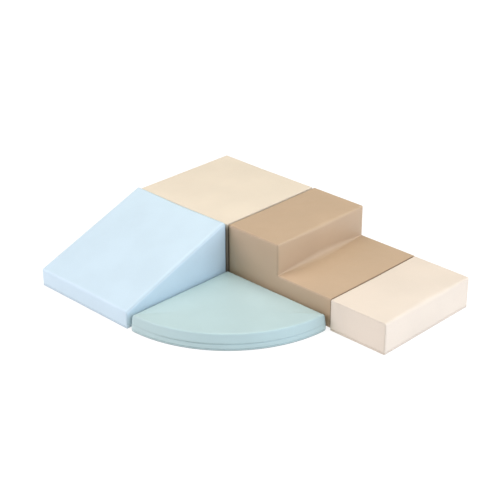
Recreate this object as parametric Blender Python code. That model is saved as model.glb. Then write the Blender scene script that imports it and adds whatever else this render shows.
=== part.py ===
"""Modular soft play climber: five foam blocks in sewn vinyl covers.

A square corner block joins a ramp and a two-step stair at right angles. A low end block
follows the stair, and a quarter-round pad fills the inner corner. Each block is a foam
core in a zipped cover over a base panel, and hook-and-loop strips hold the blocks together.

Metres, +Z up. The origin is on the floor, in the middle of the set's bounding box. The ramp
leads towards -X, the stair and the end block towards -Y.
"""

import math

import bmesh
import bpy
from mathutils import Vector

# Blocks
MODULE_WIDTH = 0.600
BLOCK_HEIGHT = 0.301
RAMP_LENGTH = 0.624
RAMP_PEAK_HEIGHT = 0.3175
RAMP_NOSE_HEIGHT = 0.0855
STAIRS_LENGTH = 0.640
TREAD_DEPTH = 0.3135
STEP_HEIGHT = 0.1455
END_BLOCK_LENGTH = 0.310
END_BLOCK_HEIGHT = 0.1545
STAIRS_SHIFT = 0.003
END_BLOCK_SHIFT = 0.0175
PAD_RADIUS = 0.6165
PAD_CENTRE = (0.009, 0.016)
PAD_THICKNESS = 0.076

# Covers
COVER_WALL = 0.0012
FIT_GAP = 0.0003
SEAM_RADIUS = 0.004
LEAST_RADIUS = 0.002
TOP_CROWN = 0.004
SIDE_SWELL = 0.0015
SWELL_MARGIN = 0.028
PANEL_RING = 0.012
PANEL_RING_RISE = 0.016
PANEL_FLAT_RISE = 0.030
PANEL_RING_SHARE = 0.65
MARGIN_LIMIT_SHARE = 0.35

# Folds: the radius at the side seams and the radius half way across
TIGHT_FOLD = (0.005, 0.009)
SOFT_FOLD = (0.007, 0.020)
TREAD_FOLD = (0.009, 0.013)
PEAK_FOLD = (0.012, 0.018)
NOSE_FOLD = (0.007, 0.012)

# The stair's cove, where the vinyl spans the inner corner instead of following it
COVE_REACH = 0.028
COVE_REACH_AT_SEAM = 0.003
COVE_DEPTH_SHARE = 0.30
COVE_WIDENING = 2.2

# Base panels
SEAM_HEIGHT = 0.009
BASE_EDGE_RADIUS = 0.003

# Foam cores
CORE_CHAMFER = 0.0225
CORE_SWELL_SHARE = 0.6
STEP_CORE_CROWN_SHARE = 0.2

# The pad's cover, whose upper half laps over the lower along its curved side
PAD_CORNER_RADIUS = 0.014
PAD_SHOULDER_RADIUS = 0.014
PAD_SIDE_SWELL = 0.003
PAD_SWELL_END_SHARE = 0.16
PAD_LAP_HEIGHT = 0.036
PAD_LAP_LIP = 0.0012
PAD_LAP_SLOPE = 0.0006
PAD_CROWN = 0.004
PAD_TOP_RINGS = (0.030, 0.080, 0.150)

# Zips
LONG_ZIP = 0.430
SHORT_ZIP = 0.200
TAPE_THICKNESS = 0.0007
TAPE_OVERLAP_BELOW = 0.0027
TAPE_OVERLAP_ABOVE = 0.0058
ZIP_SLOT_HEIGHT = 0.0072
TEETH_WIDTH = 0.0046
TEETH_HEIGHT = 0.0022
TEETH_EDGE_HEIGHT = 0.0012
TEETH_SLOPE = 0.0010
STOP_LENGTH = 0.004
STOP_HEIGHT = 0.0030
SLIDER_LENGTH = 0.0115
SLIDER_FRONT_WIDTH = 0.0088
SLIDER_REAR_WIDTH = 0.0074
SLIDER_CORNER = 0.0010
SLIDER_PLATE = 0.0010
SLIDER_STANDOFF = 0.0011
SLIDER_RAIL = 0.0007
LUG_WIDTH = 0.0022
LUG_LENGTH = 0.0083
LUG_POST = 0.0018
LUG_RISE = 0.0024
LUG_BAR = 0.0010
LUG_ROUND = 0.0008
LUG_ROOT_SHARES = (0.25, 0.6)
PULL_LENGTH = 0.024
PULL_HALF_WIDTH = 0.0033
PULL_THICKNESS = 0.0012
PULL_PIN = 0.0012
PULL_EYE_LENGTH = 0.0052
PULL_EYE_HALF_WIDTH = 0.0015
PULL_CORNER = 0.0012
PULL_EYE_CORNER = 0.0003

# Hook-and-loop strips
STRIP_THICKNESS = 0.0023
STRIP_CORNER_RADIUS = 0.006
BLOCK_STRIP_LENGTH = 0.400
BLOCK_STRIP_WIDTH = 0.050
BLOCK_STRIP_HEIGHT = 0.170
LOW_STRIP_HEIGHT = 0.074
PAD_STRIP_LENGTH = 0.500
PAD_STRIP_WIDTH = 0.024
PAD_STRIP_HEIGHT = 0.035

# Mesh density
COVER_ACROSS_SHARES = (0.0, 0.3, 0.6, 1.0)
CORE_ACROSS_SHARES = (0.0, 1.0)
COVER_CROWN_SHARES = (0.0, 0.1, 0.3, 0.5, 0.7, 0.9, 1.0)
CORE_CROWN_SHARES = (0.0, 0.3, 0.7, 1.0)
FOLD_STEPS = 3
COVE_STEPS = 5
SEAM_STEPS = 3
EDGE_STEPS = 2
PAD_ARC_STEPS = 18
PAD_CORNER_STEPS = 3
PLATE_CORNER_STEPS = 2

# Sizes that follow from the ones above
RIM = SEAM_HEIGHT + FIT_GAP
CORE_DEPTH = COVER_WALL + FIT_GAP
CORE_FLOOR = COVER_WALL + FIT_GAP
MODULE_GAP = 2 * SIDE_SWELL + 2 * STRIP_THICKNESS + 3 * FIT_GAP
PAD_GAP = SIDE_SWELL + 2 * STRIP_THICKNESS + 3 * FIT_GAP
CUT_OVERRUN = 3 * COVER_WALL
TAPE_FACE = -(COVER_WALL + FIT_GAP)
TEETH_MIDDLE = SEAM_HEIGHT + ZIP_SLOT_HEIGHT / 2
SLIDER_FACE = SLIDER_STANDOFF + SLIDER_PLATE
SLIDER_PROUD = SLIDER_FACE + LUG_RISE + LUG_BAR
SLIDER_MARGIN = STOP_LENGTH + SLIDER_LENGTH / 2 + 2 * FIT_GAP

# Colours and finishes, from the photograph
CREAM = (0.86, 0.76, 0.62)
SKY = (0.66, 0.79, 0.91)
TAN = (0.60, 0.45, 0.31)
IVORY = (0.90, 0.81, 0.69)
MINT = (0.57, 0.70, 0.69)
FOAM = (0.85, 0.84, 0.80)
VINYL_ROUGHNESS = 0.42
WEBBING_ROUGHNESS = 0.90
FOAM_ROUGHNESS = 0.95
SLIDER_ROUGHNESS = 0.35
SMOOTHING_ANGLE = math.radians(40)

COVE = "cove"
SWOLLEN = "swollen"
FLAT = "flat"
QUARTER_TURN = math.pi / 2


def clear_scene():
    """Removes whatever the file holds, so that the part stands alone."""
    for item in list(bpy.data.objects):
        bpy.data.objects.remove(item, do_unlink=True)


# Objects, materials and placing


def give_finish(item, colour, roughness):
    """Gives an object a material of its own."""
    finish = bpy.data.materials.new(item.name + "_finish")
    finish.use_nodes = True
    shader = finish.node_tree.nodes["Principled BSDF"]
    shader.inputs["Base Color"].default_value = (*colour, 1.0)
    shader.inputs["Roughness"].default_value = roughness
    item.data.materials.append(finish)


def add_object(name, mesh_maker, parent, location=(0, 0, 0), turn=0.0):
    """Links a new object that carries a bmesh, with its faces pointing out."""
    bmesh.ops.recalc_face_normals(mesh_maker, faces=mesh_maker.faces)
    mesh = bpy.data.meshes.new(name)
    mesh_maker.to_mesh(mesh)
    mesh_maker.free()
    mesh.shade_smooth()
    mesh.set_sharp_from_angle(angle=SMOOTHING_ANGLE)
    item = bpy.data.objects.new(name, mesh)
    bpy.context.collection.objects.link(item)
    item.parent = parent
    item.location = location
    item.rotation_euler.z = turn
    return item


def add_place(name, location, turn, parent=None):
    """An empty that the pieces of a block or a zip hang on."""
    place = bpy.data.objects.new(name, None)
    bpy.context.collection.objects.link(place)
    place.parent = parent
    place.location = location
    place.rotation_euler.z = turn
    return place


def combine(item, operation, cutter):
    """Joins a hidden object to a piece, or cuts the piece with it."""
    cutter.hide_render = True
    cutter.display_type = "WIRE"
    modifier = item.modifiers.new(operation.lower(), "BOOLEAN")
    modifier.operation = operation
    modifier.solver = "EXACT"
    modifier.object = cutter


# Rings of points and the faces between them


def add_ring(mesh_maker, points):
    return [mesh_maker.verts.new(point) for point in points]


def bridge_rings(mesh_maker, first, second, closed=True):
    """Joins two rings of as many points with quads."""
    count = len(first)
    for index in range(count if closed else count - 1):
        following = (index + 1) % count
        mesh_maker.faces.new((first[index], first[following], second[following], second[index]))


def loft_rings(mesh_maker, rings):
    """Joins each ring of points to the next, and returns the rings' vertices."""
    made = [add_ring(mesh_maker, ring) for ring in rings]
    for first, second in zip(made, made[1:]):
        bridge_rings(mesh_maker, first, second)
    return made


def solid_loft(rings):
    """A closed solid through rings of points, with flat ends."""
    mesh_maker = bmesh.new()
    made = loft_rings(mesh_maker, rings)
    mesh_maker.faces.new(made[0])
    mesh_maker.faces.new(made[-1])
    return mesh_maker


def box_mesh(low, high):
    """A box between two corners."""
    (left, front, bottom), (right, back, top) = low, high
    plan = ((left, front), (right, front), (right, back), (left, back))
    return solid_loft([[(x, y, z) for x, y in plan] for z in (bottom, top)])


def add_frame(mesh_maker, outline, hole, point):
    """A flat frame between an outline and a hole of as many points; point sets them in space."""
    rings = []
    for loop, side in ((outline, -1), (outline, 1), (hole, 1), (hole, -1)):
        rings.append(add_ring(mesh_maker, [point(*place, side) for place in loop]))
    for first, second in zip(rings, rings[1:] + rings[:1]):
        bridge_rings(mesh_maker, first, second)


def shrunk_ring(ring, inset, drop):
    """A ring of points drawn in by inset on every side and lowered by drop."""
    xs = [point.x for point in ring]
    ys = [point.y for point in ring]
    middle = Vector(((min(xs) + max(xs)) / 2, (min(ys) + max(ys)) / 2, 0))
    x_share = 1 - 2 * inset / (max(xs) - min(xs))
    y_share = 1 - 2 * inset / (max(ys) - min(ys))
    shrunk = []
    for point in ring:
        offset = point - middle
        shrunk.append(middle + Vector((offset.x * x_share, offset.y * y_share, offset.z - drop)))
    return shrunk


# Cross-sections of the straight blocks


class BlockShape:
    """The outline of a block in its own X and Z, from the rear face over the top to the front.

    Each corner has its bend: a fold's radii, or COVE for the stair's inner corner. Each run
    between corners has its crown: a height, SWOLLEN for a side's swell, or FLAT.
    """

    def __init__(self, outline, crowns):
        self.outline = [Vector((x, z)) for x, z, bend in outline]
        self.bends = [bend for x, z, bend in outline]
        self.crowns = crowns

    def length(self):
        return self.outline[-1].x


def box_shape(length, height, front_fold, crowns=(SWOLLEN, TOP_CROWN, SWOLLEN)):
    return BlockShape([(0, height, TIGHT_FOLD), (length, height, front_fold)], crowns)


def ramp_shape():
    outline = [(0, RAMP_PEAK_HEIGHT, PEAK_FOLD), (RAMP_LENGTH, RAMP_NOSE_HEIGHT, NOSE_FOLD)]
    return BlockShape(outline, (SWOLLEN, TOP_CROWN, SWOLLEN))


def stairs_shape():
    outline = [
        (0, BLOCK_HEIGHT, TIGHT_FOLD),
        (TREAD_DEPTH, BLOCK_HEIGHT, SOFT_FOLD),
        (TREAD_DEPTH, STEP_HEIGHT, COVE),
        (STAIRS_LENGTH, STEP_HEIGHT, TREAD_FOLD),
    ]
    return BlockShape(outline, (SWOLLEN, TOP_CROWN, SWOLLEN, TOP_CROWN, SWOLLEN))


class Skin:
    """A surface of a block: how deep it lies, where it ends, its side swell and its density."""

    def __init__(self, depth, bottom, swell, across_shares, crown_shares):
        self.depth = depth
        self.bottom = bottom
        self.swell = swell
        self.across_shares = across_shares
        self.crown_shares = crown_shares


def cover_skin(depth):
    return Skin(depth, RIM, SIDE_SWELL, COVER_ACROSS_SHARES, COVER_CROWN_SHARES)


def core_skin(bottom):
    return Skin(CORE_DEPTH, bottom, SIDE_SWELL * CORE_SWELL_SHARE, CORE_ACROSS_SHARES, CORE_CROWN_SHARES)


def inset_runs(shape, inset, bottom):
    """The outline's straight runs, moved inward by inset: start, direction, outward normal."""
    path = [Vector((0, bottom))] + shape.outline + [Vector((shape.length(), bottom))]
    runs = []
    for start, end in zip(path, path[1:]):
        direction = (end - start).normalized()
        outward = Vector((-direction.y, direction.x))
        runs.append((start - outward * inset, direction, outward))
    return runs


def crossing(first, second):
    """Where two runs meet."""
    (start, direction, _), (other, heading, _) = first, second
    span = other - start
    cross = direction.x * heading.y - direction.y * heading.x
    return start + direction * ((span.x * heading.y - span.y * heading.x) / cross)


def fold_points(corner, before, after, radius):
    """A rounded outer corner, without its two ends, and what it takes of each run."""
    turn = before[1].angle(after[1])
    trim = radius * math.tan(turn / 2)
    centre = corner - before[1] * trim - before[2] * radius
    points = []
    for step in range(1, FOLD_STEPS):
        outward = before[2].slerp(after[2], step / FOLD_STEPS)
        points.append(centre + outward * radius)
    return points, trim


def cove_points(corner, before, after, reach):
    """The vinyl's span across an inner corner, without its two ends, and its reach."""
    start = corner - before[1] * reach
    end = corner + after[1] * reach
    control = ((start + end) / 2).lerp(corner, COVE_DEPTH_SHARE)
    points = []
    for step in range(1, COVE_STEPS):
        share = step / COVE_STEPS
        points.append(start.lerp(control, share).lerp(control.lerp(end, share), share))
    return points, reach


def bend_points(bend, corner, before, after, inset, across):
    """The points of a corner at a share of the way from the seam to the block's middle."""
    if bend == COVE:
        widening = 1 - (1 - across) ** COVE_WIDENING
        reach = COVE_REACH_AT_SEAM + (COVE_REACH - COVE_REACH_AT_SEAM) * widening
        diagonal = math.sqrt(2)
        return cove_points(corner, before, after, reach + inset * (2 - diagonal))
    at_seam, at_middle = bend
    radius = at_seam + (at_middle - at_seam) * across
    return fold_points(corner, before, after, max(radius - inset, LEAST_RADIUS))


def run_points(start, end, outward, crown, across, skin):
    """The points of a straight run, swollen outward between its corners."""
    length = (end - start).length
    if crown not in (SWOLLEN, FLAT):
        lift = 4 * crown * (1 - (1 - across) ** 2)
        return [start.lerp(end, share) + outward * lift * share * (1 - share) for share in skin.crown_shares]
    margin = min(SWELL_MARGIN, MARGIN_LIMIT_SHARE * length) / length
    swell = outward * (skin.swell if across and crown == SWOLLEN else 0)
    return [start.copy(), start.lerp(end, margin) + swell, start.lerp(end, 1 - margin) + swell, end.copy()]


def section(shape, skin, inset, across, rise=0):
    """One cross-section of a block: its outline, drawn in by inset, with corners and swell."""
    bottom = skin.bottom + rise
    runs = inset_runs(shape, inset, bottom)
    corners = [crossing(before, after) for before, after in zip(runs, runs[1:])]
    first = Vector((runs[0][0].x, bottom))
    last = Vector((runs[-1][0].x, bottom))
    ends = [first] + corners + [last]
    bends = []
    for index, bend in enumerate(shape.bends):
        bends.append(bend_points(bend, corners[index], runs[index], runs[index + 1], inset, across))
    trims = [0] + [trim for _, trim in bends] + [0]
    points = []
    for index, (_, direction, outward) in enumerate(runs):
        start = ends[index] + direction * trims[index]
        end = ends[index + 1] - direction * trims[index + 1]
        points += run_points(start, end, outward, shape.crowns[index], across, skin)
        if index < len(bends):
            points += bends[index][0]
    return points


def stations(skin):
    """Places across a block: Y, inset and share of the way from the seam to the middle."""
    half = MODULE_WIDTH / 2 - SEAM_RADIUS
    radius = SEAM_RADIUS - skin.depth
    side = []
    for step in range(SEAM_STEPS):
        angle = QUARTER_TURN * step / SEAM_STEPS
        side.append((half + radius * math.cos(angle), SEAM_RADIUS - radius * math.sin(angle), 0.0))
    margin_share = SWELL_MARGIN / half
    shares = [skin.across_shares[0], margin_share] + list(skin.across_shares[1:])
    side += [(half * (1 - share), skin.depth, share) for share in shares]
    left = [(-y, inset, share) for y, inset, share in side]
    return left + side[-2::-1]


def add_skin(mesh_maker, shape, skin):
    """Adds a surface of a block, and returns its open rim."""
    rows = []
    for y, inset, across in stations(skin):
        outline = section(shape, skin, inset, across)
        rows.append(add_ring(mesh_maker, [(p.x, y, p.y) for p in outline]))
    for first, second in zip(rows, rows[1:]):
        bridge_rings(mesh_maker, first, second, closed=False)
    panel_rings = ((PANEL_RING, PANEL_RING_RISE, PANEL_RING_SHARE), (SWELL_MARGIN, PANEL_FLAT_RISE, 1))
    for ring, side in ((rows[0], -1), (rows[-1], 1)):
        for reach, rise, share in panel_rings:
            outline = section(shape, skin, SEAM_RADIUS + reach, 0, rise)
            y = side * (MODULE_WIDTH / 2 - skin.depth + skin.swell * share)
            inner = add_ring(mesh_maker, [(p.x, y, p.y) for p in outline])
            bridge_rings(mesh_maker, ring, inner)
            ring = inner
        mesh_maker.faces.new(ring)
    return [row[0] for row in rows] + [row[-1] for row in reversed(rows)]


def cover_mesh(shape):
    """A cover: the block's outer skin and its lining, open at the base seam."""
    mesh_maker = bmesh.new()
    rims = [add_skin(mesh_maker, shape, cover_skin(depth)) for depth in (0, COVER_WALL)]
    bridge_rings(mesh_maker, *rims)
    return mesh_maker


def core_mesh(shape, floor=CORE_FLOOR, chamfer=CORE_CHAMFER):
    """A foam core: the block's form under its cover, trimmed back along the base seam."""
    mesh_maker = bmesh.new()
    rim = add_skin(mesh_maker, shape, core_skin(floor + chamfer))
    if chamfer:
        foot = add_ring(mesh_maker, shrunk_ring([vertex.co for vertex in rim], chamfer, chamfer))
        bridge_rings(mesh_maker, rim, foot)
        rim = foot
    mesh_maker.faces.new(rim)
    return mesh_maker


# Plan outlines


def arc_points(centre, radius, start, turn, steps):
    """Points of an arc in plan, both ends included."""
    points = []
    for step in range(steps + 1):
        angle = start + turn * step / steps
        points.append(Vector((centre[0] + radius * math.cos(angle), centre[1] + radius * math.sin(angle))))
    return points


def rounded_rectangle(left, right, half_width, radius, steps):
    """A rectangle with rounded corners, from left to right and half_width to either side."""
    near = left + radius
    far = right - radius
    side = half_width - radius
    points = []
    for quarter, centre in enumerate(((far, side), (near, side), (near, -side), (far, -side))):
        points += arc_points(centre, radius, QUARTER_TURN * quarter, QUARTER_TURN, steps)
    return points


def block_plan(length, inset):
    """A straight block's plan, drawn in by inset, with its seams' rounding at the corners."""
    side = MODULE_WIDTH / 2 - inset
    return rounded_rectangle(inset, length - inset, side, SEAM_RADIUS - inset, SEAM_STEPS)


def pad_plan(inset, bulge=0.0):
    """The quarter-round pad's plan, drawn in by inset, with its curved side pushed out by bulge."""
    radius = max(PAD_CORNER_RADIUS - inset, LEAST_RADIUS)
    offset = inset + radius
    middle_x, middle_y = PAD_CENTRE
    span = PAD_RADIUS - offset
    reach_x = middle_x + math.sqrt(span**2 - (offset - middle_y) ** 2)
    reach_y = middle_y + math.sqrt(span**2 - (offset - middle_x) ** 2)
    start = math.atan2(offset - middle_y, reach_x - middle_x)
    end = math.atan2(reach_y - middle_y, offset - middle_x)
    steps = PAD_CORNER_STEPS
    points = arc_points((offset, offset), radius, 2 * QUARTER_TURN, QUARTER_TURN, steps)
    points += arc_points((reach_x, offset), radius, -QUARTER_TURN, QUARTER_TURN + start, steps)
    for step in range(1, PAD_ARC_STEPS):
        share = step / PAD_ARC_STEPS
        angle = start + (end - start) * share
        swell = bulge * min(1, share / PAD_SWELL_END_SHARE, (1 - share) / PAD_SWELL_END_SHARE)
        distance = PAD_RADIUS - inset + swell
        points.append(Vector((middle_x + distance * math.cos(angle), middle_y + distance * math.sin(angle))))
    points += arc_points((offset, reach_y), radius, end, 2 * QUARTER_TURN - end, steps)
    return points


def level_ring(plan, height):
    return [Vector((point.x, point.y, height)) for point in plan]


# Base panels and foam slabs


def base_mesh(plan):
    """A base panel: a flat sheet whose edge turns up to the seam all round."""
    outer = []
    lining = []
    for step in range(EDGE_STEPS + 1):
        angle = QUARTER_TURN * step / EDGE_STEPS
        for rings, radius in ((outer, BASE_EDGE_RADIUS), (lining, BASE_EDGE_RADIUS - COVER_WALL)):
            inset = BASE_EDGE_RADIUS - radius * math.sin(angle)
            height = BASE_EDGE_RADIUS - radius * math.cos(angle)
            rings.append(level_ring(plan(inset), height))
    outer.append(level_ring(plan(0), SEAM_HEIGHT))
    lining.append(level_ring(plan(COVER_WALL), SEAM_HEIGHT))
    return solid_loft(outer + lining[::-1])


def slab_mesh(length, top):
    """A square-edged foam slab, trimmed back along the base seam."""
    levels = (
        (CORE_DEPTH + CORE_CHAMFER, CORE_FLOOR),
        (CORE_DEPTH, CORE_FLOOR + CORE_CHAMFER),
        (CORE_DEPTH, top),
    )
    rings = []
    for inset, height in levels:
        side = MODULE_WIDTH / 2 - inset
        radius = max(SEAM_RADIUS - inset, LEAST_RADIUS)
        plan = rounded_rectangle(inset, length - inset, side, radius, SEAM_STEPS)
        rings.append(level_ring(plan, height))
    return solid_loft(rings)


# The quarter-round pad


def pad_swell(height):
    """How far the pad's curved side swells out at a height."""
    share = (height - RIM) / (PAD_THICKNESS - RIM)
    return PAD_SIDE_SWELL * 4 * share * (1 - share)


def pad_shoulder_and_top(depth, lip, steps):
    """The pad's shoulder and crowned top at a depth under its outer face."""
    radius = PAD_SHOULDER_RADIUS - depth
    rings = []
    for step in range(steps + 1):
        angle = QUARTER_TURN * step / steps
        height = PAD_THICKNESS - PAD_SHOULDER_RADIUS + radius * math.sin(angle)
        bulge = (pad_swell(height) + lip) * math.cos(angle)
        rings.append((PAD_SHOULDER_RADIUS - radius * math.cos(angle), height, bulge))
    for reach in PAD_TOP_RINGS:
        share = reach / PAD_TOP_RINGS[-1]
        height = PAD_THICKNESS - depth + PAD_CROWN * (1 - (1 - share) ** 2)
        rings.append((PAD_SHOULDER_RADIUS + reach, height, 0))
    return rings


def pad_rings(profile):
    return [level_ring(pad_plan(inset, bulge), height) for inset, height, bulge in profile]


def pad_cover_mesh():
    """The pad's cover: lower side, lapped upper side, shoulder and crowned top, with a lining."""
    mesh_maker = bmesh.new()
    rims = []
    for depth in (0, COVER_WALL):
        lap = PAD_LAP_HEIGHT + depth
        waist = (RIM + PAD_LAP_HEIGHT) / 2
        profile = [
            (depth, RIM, 0),
            (depth, waist, pad_swell(waist)),
            (depth, lap, pad_swell(lap)),
            (depth, lap + PAD_LAP_SLOPE, pad_swell(lap) + PAD_LAP_LIP),
        ]
        profile += pad_shoulder_and_top(depth, PAD_LAP_LIP, FOLD_STEPS)
        rings = loft_rings(mesh_maker, pad_rings(profile))
        mesh_maker.faces.new(rings[-1])
        rims.append(rings[0])
    bridge_rings(mesh_maker, *rims)
    return mesh_maker


def pad_core_mesh():
    """The pad's foam: a crowned slab, trimmed back along the base seam."""
    shoulder = CORE_FLOOR + CORE_CHAMFER
    profile = [(CORE_DEPTH + CORE_CHAMFER, CORE_FLOOR, 0), (CORE_DEPTH, shoulder, pad_swell(shoulder))]
    profile += pad_shoulder_and_top(CORE_DEPTH, 0, FOLD_STEPS)
    return solid_loft(pad_rings(profile))


# Zips: X runs along the teeth, Y points out of the block and is zero on its outer face


def chain_section(teeth_height):
    """The closed zip in section: the tape behind the seam and the teeth in the slot."""
    back = TAPE_FACE - TAPE_THICKNESS
    low = SEAM_HEIGHT - TAPE_OVERLAP_BELOW
    high = SEAM_HEIGHT + ZIP_SLOT_HEIGHT + TAPE_OVERLAP_ABOVE
    edge = TEETH_WIDTH / 2
    shoulder = edge - TEETH_SLOPE
    edge_face = TAPE_FACE + TEETH_EDGE_HEIGHT
    teeth_face = TAPE_FACE + teeth_height
    return [
        (back, low),
        (TAPE_FACE, low),
        (TAPE_FACE, TEETH_MIDDLE - edge),
        (edge_face, TEETH_MIDDLE - edge),
        (teeth_face, TEETH_MIDDLE - shoulder),
        (teeth_face, TEETH_MIDDLE + shoulder),
        (edge_face, TEETH_MIDDLE + edge),
        (TAPE_FACE, TEETH_MIDDLE + edge),
        (TAPE_FACE, high),
        (back, high),
    ]


def chain_mesh(length):
    """A zip's tapes and closed teeth, with a stop at each end."""
    half = length / 2
    inner = half - STOP_LENGTH
    slope = STOP_HEIGHT - TEETH_HEIGHT
    steps = (
        (-half, STOP_HEIGHT),
        (-inner - slope, STOP_HEIGHT),
        (-inner, TEETH_HEIGHT),
        (inner, TEETH_HEIGHT),
        (inner + slope, STOP_HEIGHT),
        (half, STOP_HEIGHT),
    )
    return solid_loft([[(x, y, z) for y, z in chain_section(height)] for x, height in steps])


def plate_mesh():
    """A zip slider's face plate, wider at its front, with clipped corners."""
    half = SLIDER_LENGTH / 2
    rear = SLIDER_REAR_WIDTH / 2
    front = SLIDER_FRONT_WIDTH / 2
    outline = [
        (-half, -rear + SLIDER_CORNER),
        (-half + SLIDER_CORNER, -rear),
        (half - SLIDER_CORNER, -front),
        (half, -front + SLIDER_CORNER),
        (half, front - SLIDER_CORNER),
        (half - SLIDER_CORNER, front),
        (-half + SLIDER_CORNER, rear),
        (-half, rear - SLIDER_CORNER),
    ]
    faces = (SLIDER_STANDOFF, SLIDER_FACE)
    return solid_loft([[(x, y, TEETH_MIDDLE + z) for x, z in outline] for y in faces])


def fittings_mesh():
    """What stands on a slider's plate: two rails along the teeth and a lug for the pull."""
    mesh_maker = bmesh.new()
    half = SLIDER_LENGTH / 2 - SLIDER_CORNER
    inner = TEETH_WIDTH / 2 + FIT_GAP
    outer = inner + SLIDER_RAIL
    root = SLIDER_STANDOFF + SLIDER_PLATE / 2
    foot = TAPE_FACE + FIT_GAP
    for side in (-1, 1):
        corners = ((foot, side * inner), (foot, side * outer), (root, side * outer), (root, side * inner))
        ends = [[(x, y, TEETH_MIDDLE + z) for y, z in corners] for x in (-half, half)]
        rings = loft_rings(mesh_maker, ends)
        mesh_maker.faces.new(rings[0])
        mesh_maker.faces.new(rings[1])
    roots = [SLIDER_STANDOFF + SLIDER_PLATE * share for share in LUG_ROOT_SHARES]
    opening = LUG_LENGTH / 2 - LUG_POST
    arch = arch_outline(LUG_LENGTH / 2, roots[0], SLIDER_PROUD, LUG_ROUND)
    hole = arch_outline(opening, roots[1], SLIDER_FACE + LUG_RISE, LUG_ROUND / 2)
    add_frame(mesh_maker, arch, hole, lambda x, y, side: (x, y, TEETH_MIDDLE + side * LUG_WIDTH / 2))
    return mesh_maker


def arch_outline(half, low, high, clip):
    """A rectangle in X and Y with its two upper corners clipped."""
    right = [(half, low), (half, high - clip), (half - clip, high)]
    return right + [(-x, y) for x, y in reversed(right)]


def pull_mesh():
    """A pull tab: a flat tab whose eye closes round a slider's lug, with the pin on the axis."""
    mesh_maker = bmesh.new()
    half = PULL_THICKNESS / 2
    tab = rounded_rectangle(-PULL_PIN / 2, PULL_LENGTH, PULL_HALF_WIDTH, PULL_CORNER, PLATE_CORNER_STEPS)
    eye = rounded_rectangle(
        PULL_PIN / 2, PULL_EYE_LENGTH, PULL_EYE_HALF_WIDTH, PULL_EYE_CORNER, PLATE_CORNER_STEPS
    )
    add_frame(mesh_maker, tab, eye, lambda x, z, side: (x, side * half, z))
    return mesh_maker


def strip_mesh(length, width):
    """A hook-and-loop strip against a face in its own X and Z, from Y = 0 outward."""
    plan = rounded_rectangle(-length / 2, length / 2, width / 2, STRIP_CORNER_RADIUS, PLATE_CORNER_STEPS)
    return solid_loft([[(x, y, z) for x, z in plan] for y in (0, STRIP_THICKNESS)])


# Placing the pieces of a block


def add_zip(name, colour, cover, length, location, turn):
    """A zip along a base seam: its slot in the cover, its chain, its slider and its pull tab."""
    seam = add_place(name + "_zip", location, turn, cover.parent)
    slot = box_mesh(
        (-length / 2 - FIT_GAP, -CUT_OVERRUN, RIM - CUT_OVERRUN),
        (length / 2 + FIT_GAP, CUT_OVERRUN, SEAM_HEIGHT + ZIP_SLOT_HEIGHT),
    )
    combine(cover, "DIFFERENCE", add_object(name + "_zip_slot", slot, seam))
    chain = add_object(name + "_zip_chain", chain_mesh(length), seam)
    give_finish(chain, colour, WEBBING_ROUGHNESS)
    slider = add_object(name + "_zip_slider", plate_mesh(), seam, (length / 2 - SLIDER_MARGIN, 0, 0))
    combine(slider, "UNION", add_object(name + "_zip_fittings", fittings_mesh(), slider))
    give_finish(slider, colour, SLIDER_ROUGHNESS)
    pin = (0, SLIDER_FACE + LUG_RISE / 2, TEETH_MIDDLE)
    pull = add_object(name + "_zip_pull", pull_mesh(), slider, pin)
    give_finish(pull, colour, SLIDER_ROUGHNESS)


def add_strip(name, colour, place, size, location, turn):
    strip = add_object(name, strip_mesh(*size), place, location, turn)
    give_finish(strip, colour, WEBBING_ROUGHNESS)


def add_side_strip(name, colour, place, side, along, height, size):
    """A strip on a block's long side, where side is 1 for +Y and -1 for -Y."""
    reach = side * (MODULE_WIDTH / 2 + SIDE_SWELL + FIT_GAP)
    turn = 0 if side > 0 else 2 * QUARTER_TURN
    add_strip(name, colour, place, size, (along, reach, height), turn)


def add_rear_strip(name, colour, place, height):
    size = (BLOCK_STRIP_LENGTH, BLOCK_STRIP_WIDTH)
    add_strip(name, colour, place, size, (-SIDE_SWELL - FIT_GAP, 0, height), QUARTER_TURN)


def add_front_strip(name, colour, place, length, height):
    size = (BLOCK_STRIP_LENGTH, BLOCK_STRIP_WIDTH)
    add_strip(name, colour, place, size, (length + SIDE_SWELL + FIT_GAP, 0, height), -QUARTER_TURN)


def add_block(name, colour, place, shape, zip_side, zip_length=LONG_ZIP):
    """A straight block's cover, base panel and zip."""
    cover = add_object(name + "_cover", cover_mesh(shape), place)
    give_finish(cover, colour, VINYL_ROUGHNESS)
    base = add_object(name + "_base", base_mesh(lambda inset: block_plan(shape.length(), inset)), place)
    give_finish(base, colour, VINYL_ROUGHNESS)
    turn = 0 if zip_side > 0 else 2 * QUARTER_TURN
    location = (shape.length() / 2, zip_side * MODULE_WIDTH / 2, 0)
    add_zip(name, colour, cover, zip_length, location, turn)


def add_foam(name, mesh_maker, place, location=(0, 0, 0)):
    foam = add_object(name, mesh_maker, place, location)
    give_finish(foam, FOAM, FOAM_ROUGHNESS)


# The blocks


def add_corner_block(place):
    """The square block both arms start from: two foam slabs in one cover."""
    shape = box_shape(MODULE_WIDTH, BLOCK_HEIGHT, TIGHT_FOLD)
    add_block("corner_block", CREAM, place, shape, 1)
    split = BLOCK_HEIGHT / 2
    add_foam("corner_block_core_lower", slab_mesh(MODULE_WIDTH, split), place)
    add_foam("corner_block_core_upper", core_mesh(shape, split + FIT_GAP, 0), place)
    add_rear_strip("corner_block_ramp_loop_strip", CREAM, place, BLOCK_STRIP_HEIGHT)
    size = (BLOCK_STRIP_LENGTH, BLOCK_STRIP_WIDTH)
    middle = MODULE_WIDTH / 2
    add_side_strip("corner_block_stairs_loop_strip", CREAM, place, -1, middle, BLOCK_STRIP_HEIGHT, size)


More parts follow.
